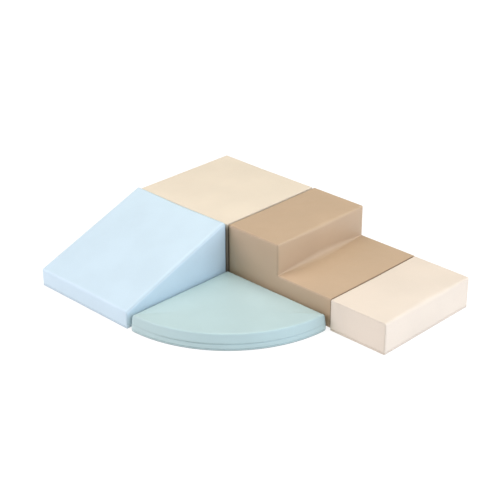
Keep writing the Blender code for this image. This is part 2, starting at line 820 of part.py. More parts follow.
def add_ramp(place):
    """The wedge: one foam piece in a cover that slopes down to the nose."""
    shape = ramp_shape()
    add_block("ramp", SKY, place, shape, -1)
    add_foam("ramp_core", core_mesh(shape), place)
    add_rear_strip("ramp_hook_strip", SKY, place, BLOCK_STRIP_HEIGHT)
    size = (PAD_STRIP_LENGTH, PAD_STRIP_WIDTH)
    along = PAD_RADIUS / 2 + PAD_GAP - MODULE_GAP
    add_side_strip("ramp_pad_loop_strip", SKY, place, 1, along, PAD_STRIP_HEIGHT, size)


def add_stairs(place):
    """The two-step stair: a tall and a low foam piece in a cover that spans the inner corner."""
    shape = stairs_shape()
    add_block("stairs", TAN, place, shape, 1)
    high = box_shape(TREAD_DEPTH, BLOCK_HEIGHT, SOFT_FOLD, (SWOLLEN, TOP_CROWN, FLAT))
    add_foam("stairs_core_high", core_mesh(high), place)
    start = TREAD_DEPTH - 2 * CORE_DEPTH + FIT_GAP
    crowns = (FLAT, TOP_CROWN * STEP_CORE_CROWN_SHARE, SWOLLEN)
    low = box_shape(STAIRS_LENGTH - start, STEP_HEIGHT, TREAD_FOLD, crowns)
    add_foam("stairs_core_low", core_mesh(low), place, (start, 0, 0))
    add_rear_strip("stairs_hook_strip", TAN, place, BLOCK_STRIP_HEIGHT)
    add_front_strip("stairs_end_block_loop_strip", TAN, place, STAIRS_LENGTH, LOW_STRIP_HEIGHT)
    size = (PAD_STRIP_LENGTH, PAD_STRIP_WIDTH)
    along = PAD_RADIUS / 2 + PAD_GAP - MODULE_GAP
    add_side_strip("stairs_pad_loop_strip", TAN, place, -1, along, PAD_STRIP_HEIGHT, size)


def add_end_block(place):
    """The low block at the foot of the stair: one foam piece in its cover."""
    shape = box_shape(END_BLOCK_LENGTH, END_BLOCK_HEIGHT, SOFT_FOLD)
    add_block("end_block", IVORY, place, shape, 1, SHORT_ZIP)
    add_foam("end_block_core", core_mesh(shape), place)
    add_rear_strip("end_block_hook_strip", IVORY, place, LOW_STRIP_HEIGHT)


def add_pad(place):
    """The quarter-round pad: a thin crowned core in a cover with a lapped curved side."""
    cover = add_object("pad_cover", pad_cover_mesh(), place)
    give_finish(cover, MINT, VINYL_ROUGHNESS)
    base = add_object("pad_base", base_mesh(pad_plan), place)
    give_finish(base, MINT, VINYL_ROUGHNESS)
    add_foam("pad_core", pad_core_mesh(), place)
    middle = PAD_RADIUS / 2
    add_zip("pad", MINT, cover, LONG_ZIP, (middle, 0, 0), 2 * QUARTER_TURN)
    size = (PAD_STRIP_LENGTH, PAD_STRIP_WIDTH)
    height = PAD_STRIP_HEIGHT
    add_strip("pad_ramp_hook_strip", MINT, place, size, (middle, -FIT_GAP, height), 2 * QUARTER_TURN)
    add_strip("pad_stairs_hook_strip", MINT, place, size, (-FIT_GAP, middle, height), QUARTER_TURN)


def main():
    clear_scene()
    ramp_end = -MODULE_GAP - RAMP_LENGTH - SIDE_SWELL
    far_side = MODULE_WIDTH + STAIRS_SHIFT + SLIDER_PROUD
    stairs_end = -MODULE_GAP - STAIRS_LENGTH
    row_end = stairs_end - MODULE_GAP - END_BLOCK_LENGTH - SIDE_SWELL
    rear_side = MODULE_WIDTH + SLIDER_PROUD
    middle_x = (ramp_end + far_side) / 2
    middle_y = (row_end + rear_side) / 2
    half = MODULE_WIDTH / 2

    def place(name, x, y, turn):
        return add_place(name, (x - middle_x, y - middle_y, 0), turn)

    add_corner_block(place("corner_block_place", 0, half, 0))
    add_ramp(place("ramp_place", -MODULE_GAP, half, 2 * QUARTER_TURN))
    add_stairs(place("stairs_place", half + STAIRS_SHIFT, -MODULE_GAP, -QUARTER_TURN))
    end_x = half + STAIRS_SHIFT - END_BLOCK_SHIFT
    add_end_block(place("end_block_place", end_x, stairs_end - MODULE_GAP, -QUARTER_TURN))
    add_pad(place("pad_place", STAIRS_SHIFT - PAD_GAP, -PAD_GAP, 2 * QUARTER_TURN))


main()
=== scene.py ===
"""Looks of the soft play climber: its vinyl covers, foam, zips, strips, floor, light and camera.

Metres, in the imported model's own frame: the ramp leads towards -X, the stair and the end block
towards -Y. Each block is made in its own frame, whose origin is at the foot of its rear face
and whose X leads forward, and is then set where its base panel lies.
"""

import math

import bmesh
import bpy
from mathutils import Matrix, Vector, noise


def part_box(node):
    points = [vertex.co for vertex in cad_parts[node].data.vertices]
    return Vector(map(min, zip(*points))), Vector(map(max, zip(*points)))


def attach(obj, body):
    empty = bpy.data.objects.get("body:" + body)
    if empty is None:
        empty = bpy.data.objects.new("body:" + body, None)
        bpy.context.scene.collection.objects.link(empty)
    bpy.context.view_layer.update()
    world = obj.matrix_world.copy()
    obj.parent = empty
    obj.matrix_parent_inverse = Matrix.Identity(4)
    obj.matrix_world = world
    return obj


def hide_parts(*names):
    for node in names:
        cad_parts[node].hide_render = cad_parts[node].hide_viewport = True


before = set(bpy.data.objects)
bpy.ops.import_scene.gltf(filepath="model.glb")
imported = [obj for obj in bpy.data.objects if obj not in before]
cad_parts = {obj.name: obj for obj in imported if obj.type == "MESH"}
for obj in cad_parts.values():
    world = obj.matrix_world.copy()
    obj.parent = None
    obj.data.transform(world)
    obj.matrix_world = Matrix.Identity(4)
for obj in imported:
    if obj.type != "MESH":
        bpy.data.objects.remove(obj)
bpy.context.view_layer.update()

# Blocks
MODULE_WIDTH = 0.600
BLOCK_HEIGHT = 0.301
RAMP_PEAK_HEIGHT = 0.3175
RAMP_NOSE_HEIGHT = 0.0855
TREAD_DEPTH = 0.3135
STEP_HEIGHT = 0.1455
END_BLOCK_HEIGHT = 0.1545
PAD_RADIUS = 0.6165
PAD_CENTRE = (0.009, 0.019)
PAD_HEIGHT = 0.081

# Covers
VINYL = 0.0012
FIT_GAP = 0.0003
SEAM_RADIUS = 0.004
LEAST_RADIUS = 0.002
TOP_CROWN = 0.004
SIDE_SWELL = 0.0015
TIGHT_FOLD = (0.005, 0.009)
SOFT_FOLD = (0.007, 0.020)
TREAD_FOLD = (0.009, 0.013)
PEAK_FOLD = (0.012, 0.018)
NOSE_FOLD = (0.010, 0.025)
END_FOLD = (0.009, 0.027)
COVE_REACH = 0.034
COVE_REACH_AT_SEAM = 0.003
COVE_DEPTH_SHARE = 0.92
COVE_WIDENING = 1.2
RAMP_ROLL = 0.015
STAIRS_ROLL = 0.009
TREAD_ROLL = 0.008
ROLL_TAPER = 0.035

# Sewn seams: the groove at a side seam, and the cover's and the base's rolled hems
GROOVE_ANGLE = math.radians(14)
GROOVE_HALF_ANGLE = math.radians(11)
GROOVE_DEPTH = 0.0010
GROOVE_SLOPE_DEPTH_SHARE = 0.65
SEAM_HEIGHT = 0.009
HEM_ROLL = 0.0022
HEM_ALLOWANCE = 0.006
BASE_EDGE_RADIUS = 0.003

# Painted shade on the faces that stand in a joint between two blocks
JOINT_REACH = 0.0125
JOINT_FADE = 0.003
JOINT_DEPTH = 0.030
OPEN_JOINT = ("stairs", "end_block")
OPEN_JOINT_REACH = 0.0165
OPEN_JOINT_DEPTH = 0.008

# The vinyl's own unevenness over the foam
RIPPLE_HEIGHT = 0.0006
RIPPLE_LENGTH = 0.15
RIPPLE_START = 0.060
RIPPLE_SECOND_HEIGHT_SHARE = 0.4
RIPPLE_SECOND_SCALE = 2.7

# The pad's cover, whose upper half laps over the lower along its curved side. Towards the two
# blocks the foam is pressed into a wide, low shoulder.
PAD_CORNER_RADIUS = 0.014
PAD_TIP_RADIUS = 0.036
PAD_FULLNESS = 0.002
PAD_SHOULDER_RADIUS = 0.007
PAD_WALL_SHOULDER = (0.024, 0.035)
PAD_WALL_DROP = 0.009
PAD_LEAN = 0.009
PAD_SIDE_SWELL = 0.003
PAD_SWELL_END_SHARE = 0.16
PAD_LAP_HEIGHT = 0.036
PAD_LAP_LIP = 0.0022
PAD_TOP_REACH = 0.150
PAD_LOWER_HEIGHTS = (0.014, 0.020, 0.027)
PAD_UPPER_HEIGHTS = (0.047, 0.056, 0.065)
PAD_UPPER_LIP_SHARE = 0.4
PAD_WALL_TOP = 0.070

# The lap's fold: each ring's rise from the lap's height, and above it its change of bulge too
PAD_BELOW_LAP = -0.0010
PAD_UNDER_LAP = (-0.0004, 0.0)
PAD_OVER_LAP = ((0.0002, -0.0010), (0.0006, 0.0), (0.0022, 0.0004), (0.0050, -0.0004))

# Foam
CORE_CHAMFER = 0.0225
CORE_SWELL_SHARE = 0.6

# Zips
ZIP_SLOT_HEIGHT = 0.0072
TAPE_THICKNESS = 0.0007
TAPE_OVERLAP_BELOW = 0.0027
TAPE_OVERLAP_ABOVE = 0.0058
TOOTH_PITCH = 0.0020
TOOTH_LENGTH = 0.0008
TOOTH_REACH = 0.0029
TOOTH_HEIGHT = 0.0019
TEETH_WIDTH = 0.0046
STOP_LENGTH = 0.004
STOP_HEIGHT = 0.0027
MOULDED_EDGE = 0.0002

# Hook-and-loop strips
STRIP_ROUND = 0.0006
STRIP_CORNER = 0.006
STITCH_INSET = 0.0025
STITCH_PITCH = 0.0036
STITCH_LENGTH = 0.0026
STITCH_RADIUS = 0.00022

# Mesh density
FINE_EDGES = (0.002, 0.005, 0.009, 0.014, 0.021, 0.030)
FINE_SPACING = 0.030
CORE_EDGES = (0.010, 0.030)
CORE_SPACING = 0.060
FINE_END_SHARE = 0.35
FOLD_STEPS = 6
COVE_STEPS = 10
PAD_ARC_STEPS = 72
PAD_CORNER_STEPS = 8
PAD_WALL_STEPS = 20
PAD_WALL_SHARES = [step / PAD_WALL_STEPS for step in range(1, PAD_WALL_STEPS)]
PAD_SHOULDER_STEPS = 8
PAD_TOP_SHARES = (0.06, 0.14, 0.25, 0.38, 0.55, 0.76, 1.0)
NEAR = 1e-6

# Lights and tones: each light's place, size, power and colour
WORLD_COLOUR = (1.0, 1.03, 0.95)
WORLD_STRENGTH = 0.26
LIGHT_TARGET = (0.0, -0.2, 0.1)
LIGHTS = {
    "top_light": ((0.3, 0.0, 4.5), 4.5, 112.0, (1.05, 1.0, 0.86)),
    "right_light": ((4.0, -3.0, 2.8), 4.5, 62.0, (1.10, 1.0, 0.91)),
    "front_light": ((0.3, -4.8, 2.6), 4.5, 146.0, (0.82, 0.96, 1.24)),
    "left_light": ((-4.0, 2.9, 2.8), 4.5, 168.0, (0.97, 0.94, 1.09)),
}
FLOOR_TONE = 0.25
FLOOR_GLOW = 0.82
FLOOR_FAR_GLOW = 1.0
FLOOR_GLOW_SPAN = (1.5, 4.0)
FLOOR_REACH = 20.0
# Height of the painted shade at each cover's foot
FOOT_SHADE_HEIGHT = 0.006

# Camera, from the photograph's straight edges
CAMERA_PLACE = (-3.8822, -3.7389, 2.9155)
CAMERA_YAW = math.radians(44.0735)
CAMERA_PITCH = math.radians(-26.4466)
CAMERA_FOCUS_PIXELS = 1311.1
PICTURE_PIXELS = 500
SENSOR_WIDTH = 36.0

COVE = "cove"
SWOLLEN = "swollen"
FLAT = "flat"
WHOLE_EDGE = (False, False)
FROM_RISER = (True, False)
RAMP_NEAR_SIDE = 1
STAIRS_NEAR_SIDE = -1
QUARTER_TURN = math.pi / 2
EAST = Vector((1, 0, 0))
NORTH = Vector((0, 1, 0))
WEST = Vector((-1, 0, 0))
SOUTH = Vector((0, -1, 0))
UP = Vector((0, 0, 1))

HEIGHTS = {
    "corner_block": BLOCK_HEIGHT,
    "ramp": BLOCK_HEIGHT,
    "stairs": BLOCK_HEIGHT,
    "end_block": END_BLOCK_HEIGHT,
}

BODY_COLOURS = {
    "corner_block": "cream",
    "ramp": "sky",
    "stairs": "tan",
    "end_block": "ivory",
    "pad": "mint",
}

# Each hook or loop strip, its body and the way it faces
STRIPS = (
    ("corner_block_ramp_loop_strip", "corner_block", WEST),
    ("corner_block_stairs_loop_strip", "corner_block", SOUTH),
    ("ramp_hook_strip", "ramp", EAST),
    ("ramp_pad_loop_strip", "ramp", SOUTH),
    ("stairs_hook_strip", "stairs", NORTH),
    ("stairs_end_block_loop_strip", "stairs", SOUTH),
    ("stairs_pad_loop_strip", "stairs", WEST),
    ("end_block_hook_strip", "end_block", NORTH),
    ("pad_ramp_hook_strip", "pad", NORTH),
    ("pad_stairs_hook_strip", "pad", EAST),
)

# How dark the painted shade at the foot of each cover is, where it meets the floor
FOOT_SHADES = {"cream": 0.5, "sky": 0.6, "tan": 0.7, "ivory": 0.35, "mint": 0.95}

# Vinyl and webbing colours
COLOURS = {
    "cream": (0.81, 0.705, 0.564),
    "sky": (0.589, 0.724, 0.804),
    "tan": (0.543, 0.390, 0.254),
    "ivory": (0.791, 0.680, 0.564),
    "mint": (0.479, 0.621, 0.620),
}
FOAM_COLOUR = (0.80, 0.78, 0.70)


# Node materials


class Finish:
    """A material whose nodes are added one by one, all read in the piece's own coordinates."""

    def __init__(self, name, roughness):
        self.material = bpy.data.materials.new(name)
        self.material.use_nodes = True
        self.tree = self.material.node_tree
        self.shader = self.tree.nodes["Principled BSDF"]
        self.shader.inputs["Roughness"].default_value = roughness
        self.place = self.node("ShaderNodeTexCoord").outputs["Object"]

    def node(self, kind, **settings):
        made = self.tree.nodes.new(kind)
        for name, value in settings.items():
            setattr(made, name, value)
        return made

    def put(self, socket, value):
        """Links a node's output to a socket, or sets the socket to a value."""
        if isinstance(value, bpy.types.NodeSocket):
            self.tree.links.new(value, socket)
        else:
            socket.default_value = value

    def feed(self, node, **values):
        """Fills a node's inputs, whose names have _ for each space."""
        for name, value in values.items():
            self.put(node.inputs[name.replace("_", " ")], value)
        return node

    def stretched(self, scale):
        """The piece's coordinates scaled unequally."""
        mapping = self.node("ShaderNodeMapping")
        return self.feed(mapping, Vector=self.place, Scale=scale).outputs["Vector"]

    def noise(self, scale, detail=2.0, roughness=0.5, place=None):
        made = self.node("ShaderNodeTexNoise")
        self.feed(made, Vector=place or self.place, Scale=scale, Detail=detail, Roughness=roughness)
        return made.outputs["Fac"]

    def cells(self, scale, feature="F1", place=None):
        made = self.node("ShaderNodeTexVoronoi", feature=feature)
        return self.feed(made, Vector=place or self.place, Scale=scale).outputs["Distance"]

    def spread(self, value, low, high, to_low, to_high):
        """Maps a value's range smoothly to another."""
        made = self.node("ShaderNodeMapRange", interpolation_type="SMOOTHSTEP")
        self.feed(made, Value=value, From_Min=low, From_Max=high, To_Min=to_low, To_Max=to_high)
        return made.outputs["Result"]

    def sum(self, first, second, operation="ADD"):
        made = self.node("ShaderNodeMath", operation=operation)
        self.put(made.inputs[0], first)
        self.put(made.inputs[1], second)
        return made.outputs["Value"]

    def mix(self, share, first, second, blend="MIX"):
        made = self.node("ShaderNodeMix", data_type="RGBA", blend_type=blend)
        sockets = (made.inputs[0], made.inputs[6], made.inputs[7])
        for socket, value in zip(sockets, (share, first, second)):
            self.put(socket, value)
        return made.outputs[2]

    def bump(self, height, distance):
        made = self.node("ShaderNodeBump")
        return self.feed(made, Height=height, Distance=distance).outputs["Normal"]


def tint(colour, share=1.0):
    return (*[min(1.0, channel * share) for channel in colour], 1.0)


def vinyl_finish(name, colour, foot_shade):
    """Coated fabric with a fine pebble grain, cloudy tone, and shade in seams, joints and foot."""
    finish = Finish(name, 0.4)
    cloud = finish.spread(finish.noise(5.0, 3.0), 0.3, 0.7, 0.0, 1.0)
    tone = finish.mix(cloud, tint(colour, 0.975), tint(colour, 1.02))
    speck = finish.spread(finish.noise(420.0, 2.0, 0.6), 0.35, 0.75, 0.0, 1.0)
    tone = finish.mix(speck, tone, tint((0.97, 0.96, 0.95)), "MULTIPLY")
    # Darker vinyl within a few mm of each seam: partly dust, partly painted shade along the seam
    seam = finish.node("ShaderNodeAttribute", attribute_name="seam").outputs["Fac"]
    uneven = finish.sum(seam, finish.sum(finish.noise(60.0), 0.006, "MULTIPLY"), "SUBTRACT")
    seam_dust_and_shade = finish.spread(uneven, -0.004, 0.003, 0.24, 0.0)
    tone = finish.mix(seam_dust_and_shade, tone, tint((0.66, 0.64, 0.62)), "MULTIPLY")
    # Painted shade: darkens the faces that stand in a joint between two blocks
    joint = finish.node("ShaderNodeAttribute", attribute_name="joint").outputs["Fac"]
    tone = finish.mix(joint, tone, tint((0.34, 0.31, 0.29)), "MULTIPLY")
    # Painted shade along the foot of the cover, darkest where it meets the floor
    parts = finish.feed(finish.node("ShaderNodeSeparateXYZ"), Vector=finish.place)
    foot = finish.spread(parts.outputs["Z"], 0.0, FOOT_SHADE_HEIGHT, foot_shade, 0.0)
    tone = finish.mix(foot, tone, tint((0.22, 0.22, 0.22)), "MULTIPLY")
    rub = finish.spread(finish.noise(14.0, 4.0, 0.65), 0.35, 0.7, 0.36, 0.48)
    pebble = finish.sum(finish.cells(620.0, "SMOOTH_F1"), finish.noise(1500.0, 1.0))
    finish.feed(finish.shader, Base_Color=tone, Roughness=rub, Normal=finish.bump(pebble, 0.00010))
    finish.feed(finish.shader, Coat_Weight=0.08, Coat_Roughness=0.35)
    finish.feed(finish.shader, Sheen_Weight=0.05, Sheen_Roughness=0.4)
    return finish.material


def foam_finish(name, colour):
    """Open-cell foam: small dark pores in a pale matt skin."""
    finish = Finish(name, 0.95)
    pores = finish.cells(700.0)
    tone = finish.mix(finish.spread(pores, 0.1, 0.6, 0.0, 1.0), tint(colour, 0.8), tint(colour))
    finish.feed(finish.shader, Base_Color=tone, Normal=finish.bump(pores, 0.0004))
    return finish.material


def webbing_finish(name, colour):
    """Woven tape with a matt pile on it."""
    finish = Finish(name, 0.9)
    pile = finish.noise(2600.0, 2.0, 0.7)
    rows = finish.cells(1100.0, "F1", finish.stretched((1.0, 1.0, 0.5)))
    tone = finish.mix(pile, tint(colour, 0.62), tint(colour, 0.98))
    finish.feed(finish.shader, Base_Color=tone, Normal=finish.bump(finish.sum(pile, rows), 0.0003))
    finish.feed(finish.shader, Sheen_Weight=0.3)
    return finish.material


def plastic_finish(name, colour):
    """Moulded plastic, a little uneven, rubbed duller in patches."""
    finish = Finish(name, 0.35)
    patch = finish.noise(300.0, 3.0)
    tone = finish.mix(patch, tint(colour, 0.70), tint(colour, 0.84))
    rough = finish.spread(patch, 0.3, 0.7, 0.28, 0.44)
    normal = finish.bump(finish.noise(2400.0), 0.00004)
    finish.feed(finish.shader, Base_Color=tone, Roughness=rough, Normal=normal)
    return finish.material


def floor_finish():
    """A plain pale studio floor that glows, more in the distance, so that it stays white."""
    finish = Finish("studio_floor", 0.9)
    tone = finish.mix(finish.noise(3.0), tint([FLOOR_TONE] * 3), tint([FLOOR_TONE] * 3, 0.98))
    away = finish.node("ShaderNodeVectorMath", operation="LENGTH")
    finish.put(away.inputs[0], finish.place)
    glow = finish.spread(away.outputs["Value"], *FLOOR_GLOW_SPAN, FLOOR_GLOW, FLOOR_FAR_GLOW)
    finish.feed(finish.shader, Base_Color=tone, Specular_IOR_Level=0.0)
    finish.feed(finish.shader, Emission_Color=tint((1, 1, 1)), Emission_Strength=glow)
    return finish.material


# Meshes and pieces


def add_ring(mesh_maker, points):
    return [mesh_maker.verts.new(point) for point in points]


def bridge_rings(mesh_maker, first, second, closed=True):
    """Joins two rings of as many points with quads."""
    count = len(first)
    for index in range(count if closed else count - 1):
        following = (index + 1) % count
        mesh_maker.faces.new((first[index], first[following], second[following], second[index]))


def loft_rings(mesh_maker, rings):
    """Joins each ring of points to the next, and returns the rings' vertices."""
    made = [add_ring(mesh_maker, ring) for ring in rings]
    for first, second in zip(made, made[1:]):
        bridge_rings(mesh_maker, first, second)
    return made


def close_ends(mesh_maker, made):
    mesh_maker.faces.new(made[0])
    mesh_maker.faces.new(made[-1])


def add_piece(name, mesh_maker, place, body, slot, *nodes):
    """Links a piece made in a block's frame, riding on its body in place of its CAD nodes."""
    bmesh.ops.recalc_face_normals(mesh_maker, faces=mesh_maker.faces)
    mesh = bpy.data.meshes.new(name)
    mesh_maker.to_mesh(mesh)
    mesh_maker.free()
    mesh.transform(place)
    mesh.shade_smooth()
    piece = bpy.data.objects.new(name, mesh)
    bpy.context.scene.collection.objects.link(piece)
    piece.data.materials.append(FINISHES[slot])
    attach(piece, body)
    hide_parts(*nodes)
    return piece


def add_thickness(piece, thickness):
    """Turns an open sheet into one of real thickness, added on its inner side."""
    solid = piece.modifiers.new("thickness", "SOLIDIFY")
    solid.thickness = thickness
    solid.offset = -1


def geometry_of(faces):
    edges = {edge for face in faces for edge in face.edges}
    verts = {vertex for face in faces for vertex in face.verts}
    return list(faces) + list(edges) + list(verts)


def cut_field(mesh_maker, field, spacing, low, high, directions):
    """Cuts a flat field into cells of about one spacing, and returns its vertices."""
    geometry = geometry_of([field])
    for direction in directions:
        start = low.dot(direction)
        end = high.dot(direction)
        for step in range(1, int((end - start) / spacing) + 1):
            place = direction * (start + spacing * step)
            cut = bmesh.ops.bisect_plane(
                mesh_maker, geom=geometry, dist=NEAR, plane_co=place, plane_no=direction
            )
            geometry = cut["geom"]
    return [item for item in geometry if isinstance(item, bmesh.types.BMVert)]


def ripple(mesh_maker, seam):
    """Moves the vinyl in and out a little, more towards the middle of each panel."""
    mesh_maker.normal_update()
    moves = []
    for vertex in mesh_maker.verts:
        share = max(0.0, min(1.0, vertex[seam] / RIPPLE_START))
        spot = vertex.co / RIPPLE_LENGTH
        second = noise.noise(spot * RIPPLE_SECOND_SCALE)
        wave = noise.noise(spot) + RIPPLE_SECOND_HEIGHT_SHARE * second
        moves.append(vertex.normal * RIPPLE_HEIGHT * wave * share**1.5)
    for vertex, move in zip(mesh_maker.verts, moves):
        vertex.co += move


# Cross-sections of the straight blocks


class BlockShape:
    """A block's outline in its own X and Z, from the rear face over the top to the front.

    Each roll is a run of the outline, the side whose long edge it rounds, its radius, and which
    of the edge's two ends taper back to the seam.
    """

    def __init__(self, outline, crowns, rolls=()):
        self.outline = [Vector((x, z)) for x, z, bend in outline]
        self.bends = [bend for x, z, bend in outline]
        self.crowns = crowns
        self.rolls = rolls

    def length(self):
        return self.outline[-1].x

    def height(self):
        return max(point.y for point in self.outline)


def box_shape(length, height, front_fold, crowns=(SWOLLEN, TOP_CROWN, SWOLLEN), rolls=()):
    return BlockShape([(0, height, TIGHT_FOLD), (length, height, front_fold)], crowns, rolls)


def corner_shape(length):
    return box_shape(length, BLOCK_HEIGHT, TIGHT_FOLD)


def end_block_shape(length):
    return box_shape(length, END_BLOCK_HEIGHT, END_FOLD)


def ramp_shape(length):
    outline = [(0, RAMP_PEAK_HEIGHT, PEAK_FOLD), (length, RAMP_NOSE_HEIGHT, NOSE_FOLD)]
    rolls = [(0, RAMP_NEAR_SIDE, RAMP_ROLL, WHOLE_EDGE)]
    return BlockShape(outline, (SWOLLEN, TOP_CROWN, SWOLLEN), rolls)


def stairs_shape(length):
    outline = [
        (0, BLOCK_HEIGHT, TIGHT_FOLD),
        (TREAD_DEPTH, BLOCK_HEIGHT, SOFT_FOLD),
        (TREAD_DEPTH, STEP_HEIGHT, COVE),
        (length, STEP_HEIGHT, TREAD_FOLD),
    ]
    rolls = [
        (0, STAIRS_NEAR_SIDE, STAIRS_ROLL, WHOLE_EDGE),
        (2, STAIRS_NEAR_SIDE, TREAD_ROLL, FROM_RISER),
    ]
    return BlockShape(outline, (SWOLLEN, TOP_CROWN, SWOLLEN, TOP_CROWN, SWOLLEN), rolls)


class Skin:
    """A surface of a block: its depth, its lowest height, its side swell and its density."""

    def __init__(self, depth, bottom, swell, edges, spacing):
        self.depth = depth
        self.bottom = bottom
        self.swell = swell
        self.edges = edges
        self.spacing = spacing

    def shares(self, length):
        """Places along a run, closer together near its ends."""
        near = [edge / length for edge in self.edges if edge < length * FINE_END_SHARE]
        count = max(1, round((1 - 2 * near[-1]) * length / self.spacing))
        middle = [near[-1] + (1 - 2 * near[-1]) * step / count for step in range(1, count)]
        return [0.0] + near + middle + [1 - share for share in reversed(near)] + [1.0]


def inset_runs(shape, inset, bottom):
    """The outline's straight runs, moved inward by inset: start, direction, outward normal."""
    path = [Vector((0, bottom))] + shape.outline + [Vector((shape.length(), bottom))]
    runs = []
    for start, end in zip(path, path[1:]):
        direction = (end - start).normalized()
        outward = Vector((-direction.y, direction.x))
        runs.append((start - outward * inset, direction, outward))
    return runs


def crossing(first, second):
    """Where two runs meet."""
    (start, direction, _), (other, heading, _) = first, second
    span = other - start
    cross = direction.x * heading.y - direction.y * heading.x
    return start + direction * ((span.x * heading.y - span.y * heading.x) / cross)


def fold_points(corner, before, after, radius):
    """A rounded outer corner, without its two ends, and what it takes of each run."""
    trim = radius * math.tan(before[1].angle(after[1]) / 2)
    centre = corner - before[1] * trim - before[2] * radius
    points = []
    for step in range(1, FOLD_STEPS):
        points.append(centre + before[2].slerp(after[2], step / FOLD_STEPS) * radius)
    return points, trim


def cove_points(corner, before, after, reach):
    """The vinyl's soft span across an inner corner, without its two ends, and its reach."""
    start = corner - before[1] * reach
    end = corner + after[1] * reach
    control = ((start + end) / 2).lerp(corner, COVE_DEPTH_SHARE)
    points = []
    for step in range(1, COVE_STEPS):
        share = step / COVE_STEPS
        points.append(start.lerp(control, share).lerp(control.lerp(end, share), share))
    return points, reach


def bend_points(bend, corner, before, after, inset, across):
    """The points of a corner at a share of the way from the seam to the block's middle."""
    if bend == COVE:
        widening = 1 - (1 - across) ** COVE_WIDENING
        reach = COVE_REACH_AT_SEAM + (COVE_REACH - COVE_REACH_AT_SEAM) * widening
        return cove_points(corner, before, after, reach + inset * (2 - math.sqrt(2)))
    at_seam, at_middle = bend
    radius = at_seam + (at_middle - at_seam) * across
    return fold_points(corner, before, after, max(radius - inset, LEAST_RADIUS))


def run_points(start, end, outward, crown, across, skin, shares):
    """The points of a straight run, swollen outward between its corners."""
    lifts = []
    margin = skin.edges[-1] / (end - start).length
    for share in shares:
        if crown == FLAT:
            lifts.append(0.0)
        elif crown == SWOLLEN:
            ramp = min(1, share / margin, (1 - share) / margin)
            lifts.append(skin.swell * math.sin(QUARTER_TURN * ramp) if across else 0.0)
        else:
            lifts.append(4 * crown * (1 - (1 - across) ** 2) * share * (1 - share))
    return [start.lerp(end, share) + outward * lift for share, lift in zip(shares, lifts)]


def section(shape, skin, inset, across, rise=0.0):
    """One cross-section of a block: its outline, drawn in by inset, with corners and swell."""
    bottom = skin.bottom + rise
    runs = inset_runs(shape, inset, bottom)
    corners = [crossing(before, after) for before, after in zip(runs, runs[1:])]
    ends = [Vector((runs[0][0].x, bottom))] + corners + [Vector((runs[-1][0].x, bottom))]
    bends = []
    for index, bend in enumerate(shape.bends):
        bends.append(bend_points(bend, corners[index], runs[index], runs[index + 1], inset, across))
    trims = [0] + [trim for _, trim in bends] + [0]
    path = [Vector((0, skin.bottom))] + shape.outline + [Vector((shape.length(), skin.bottom))]
    points = []
    for index, (_, direction, outward) in enumerate(runs):
        start = ends[index] + direction * trims[index]
        end = ends[index + 1] - direction * trims[index + 1]
        shares = skin.shares((path[index + 1] - path[index]).length)
        points += run_points(start, end, outward, shape.crowns[index], across, skin, shares)
        if index < len(bends):
            points += bends[index][0]
    return points


def seam_profile(grooved):
    """Angles round a side seam, from the wrap to the side panel, and how deep each lies."""
    rounds = [(QUARTER_TURN * share, 0.0) for share in (1.0, 0.75, 0.5)]
    if not grooved:
        return rounds + [(QUARTER_TURN / 4, 0.0), (0.0, 0.0)]
    low = GROOVE_ANGLE - GROOVE_HALF_ANGLE
    high = GROOVE_ANGLE + GROOVE_HALF_ANGLE
    partly = GROOVE_SLOPE_DEPTH_SHARE
    slopes = [(high, 0.0), ((high + GROOVE_ANGLE) / 2, partly), (GROOVE_ANGLE, 1.0)]
    return rounds + slopes + [((low + GROOVE_ANGLE) / 2, partly), (low, 0.0)]


def stations(skin, grooved):
    """Places across a block: Y, inset and share of the way from the seam to the middle."""
    reach = MODULE_WIDTH / 2 - SEAM_RADIUS
    side = []
    for angle, depth_share in reversed(seam_profile(grooved)):
        radius = SEAM_RADIUS - skin.depth - GROOVE_DEPTH * depth_share
        side.append((reach + radius * math.cos(angle), SEAM_RADIUS - radius * math.sin(angle), 0.0))
    wide = [reach * (1 - 2 * share) for share in skin.shares(2 * reach)]
    middle = [(y, skin.depth, 1 - abs(y) / reach) for y in wide[1:-1]]
    return side + middle + [(-y, inset, across) for y, inset, across in reversed(side)]


def bottom_points(shape, skin, y, inset, rise=0.0):
    """The points along a side panel's foot, from the front back to the rear."""
    length = shape.length() - 2 * inset
    shares = skin.shares(shape.length())[1:-1]
    return [(shape.length() - inset - length * share, y, skin.bottom + rise) for share in shares]


def add_side_panel(mesh_maker, seam, shape, skin, row, side):
    """Closes one side of a block with rings from the seam inward and a gridded field."""
    y = side * (MODULE_WIDTH / 2 - skin.depth)
    foot = add_ring(mesh_maker, bottom_points(shape, skin, y, SEAM_RADIUS))
    ring = row + foot
    for reach in skin.edges:
        lift = side * skin.swell * math.sin(reach / skin.edges[-1] * QUARTER_TURN)
        inset = SEAM_RADIUS + reach
        outline = [(p.x, y + lift, p.y) for p in section(shape, skin, inset, 0, reach)]
        inner = add_ring(mesh_maker, outline + bottom_points(shape, skin, y + lift, inset, reach))
        for vertex in inner:
            vertex[seam] = reach
        bridge_rings(mesh_maker, ring, inner)
        ring = inner
    field = mesh_maker.faces.new(ring)
    high = Vector((shape.length(), 0, shape.height()))
    outer = set(ring)
    for vertex in cut_field(mesh_maker, field, skin.spacing, Vector(), high, (EAST, UP)):
        if vertex not in outer:
            vertex[seam] = RIPPLE_START
    return foot


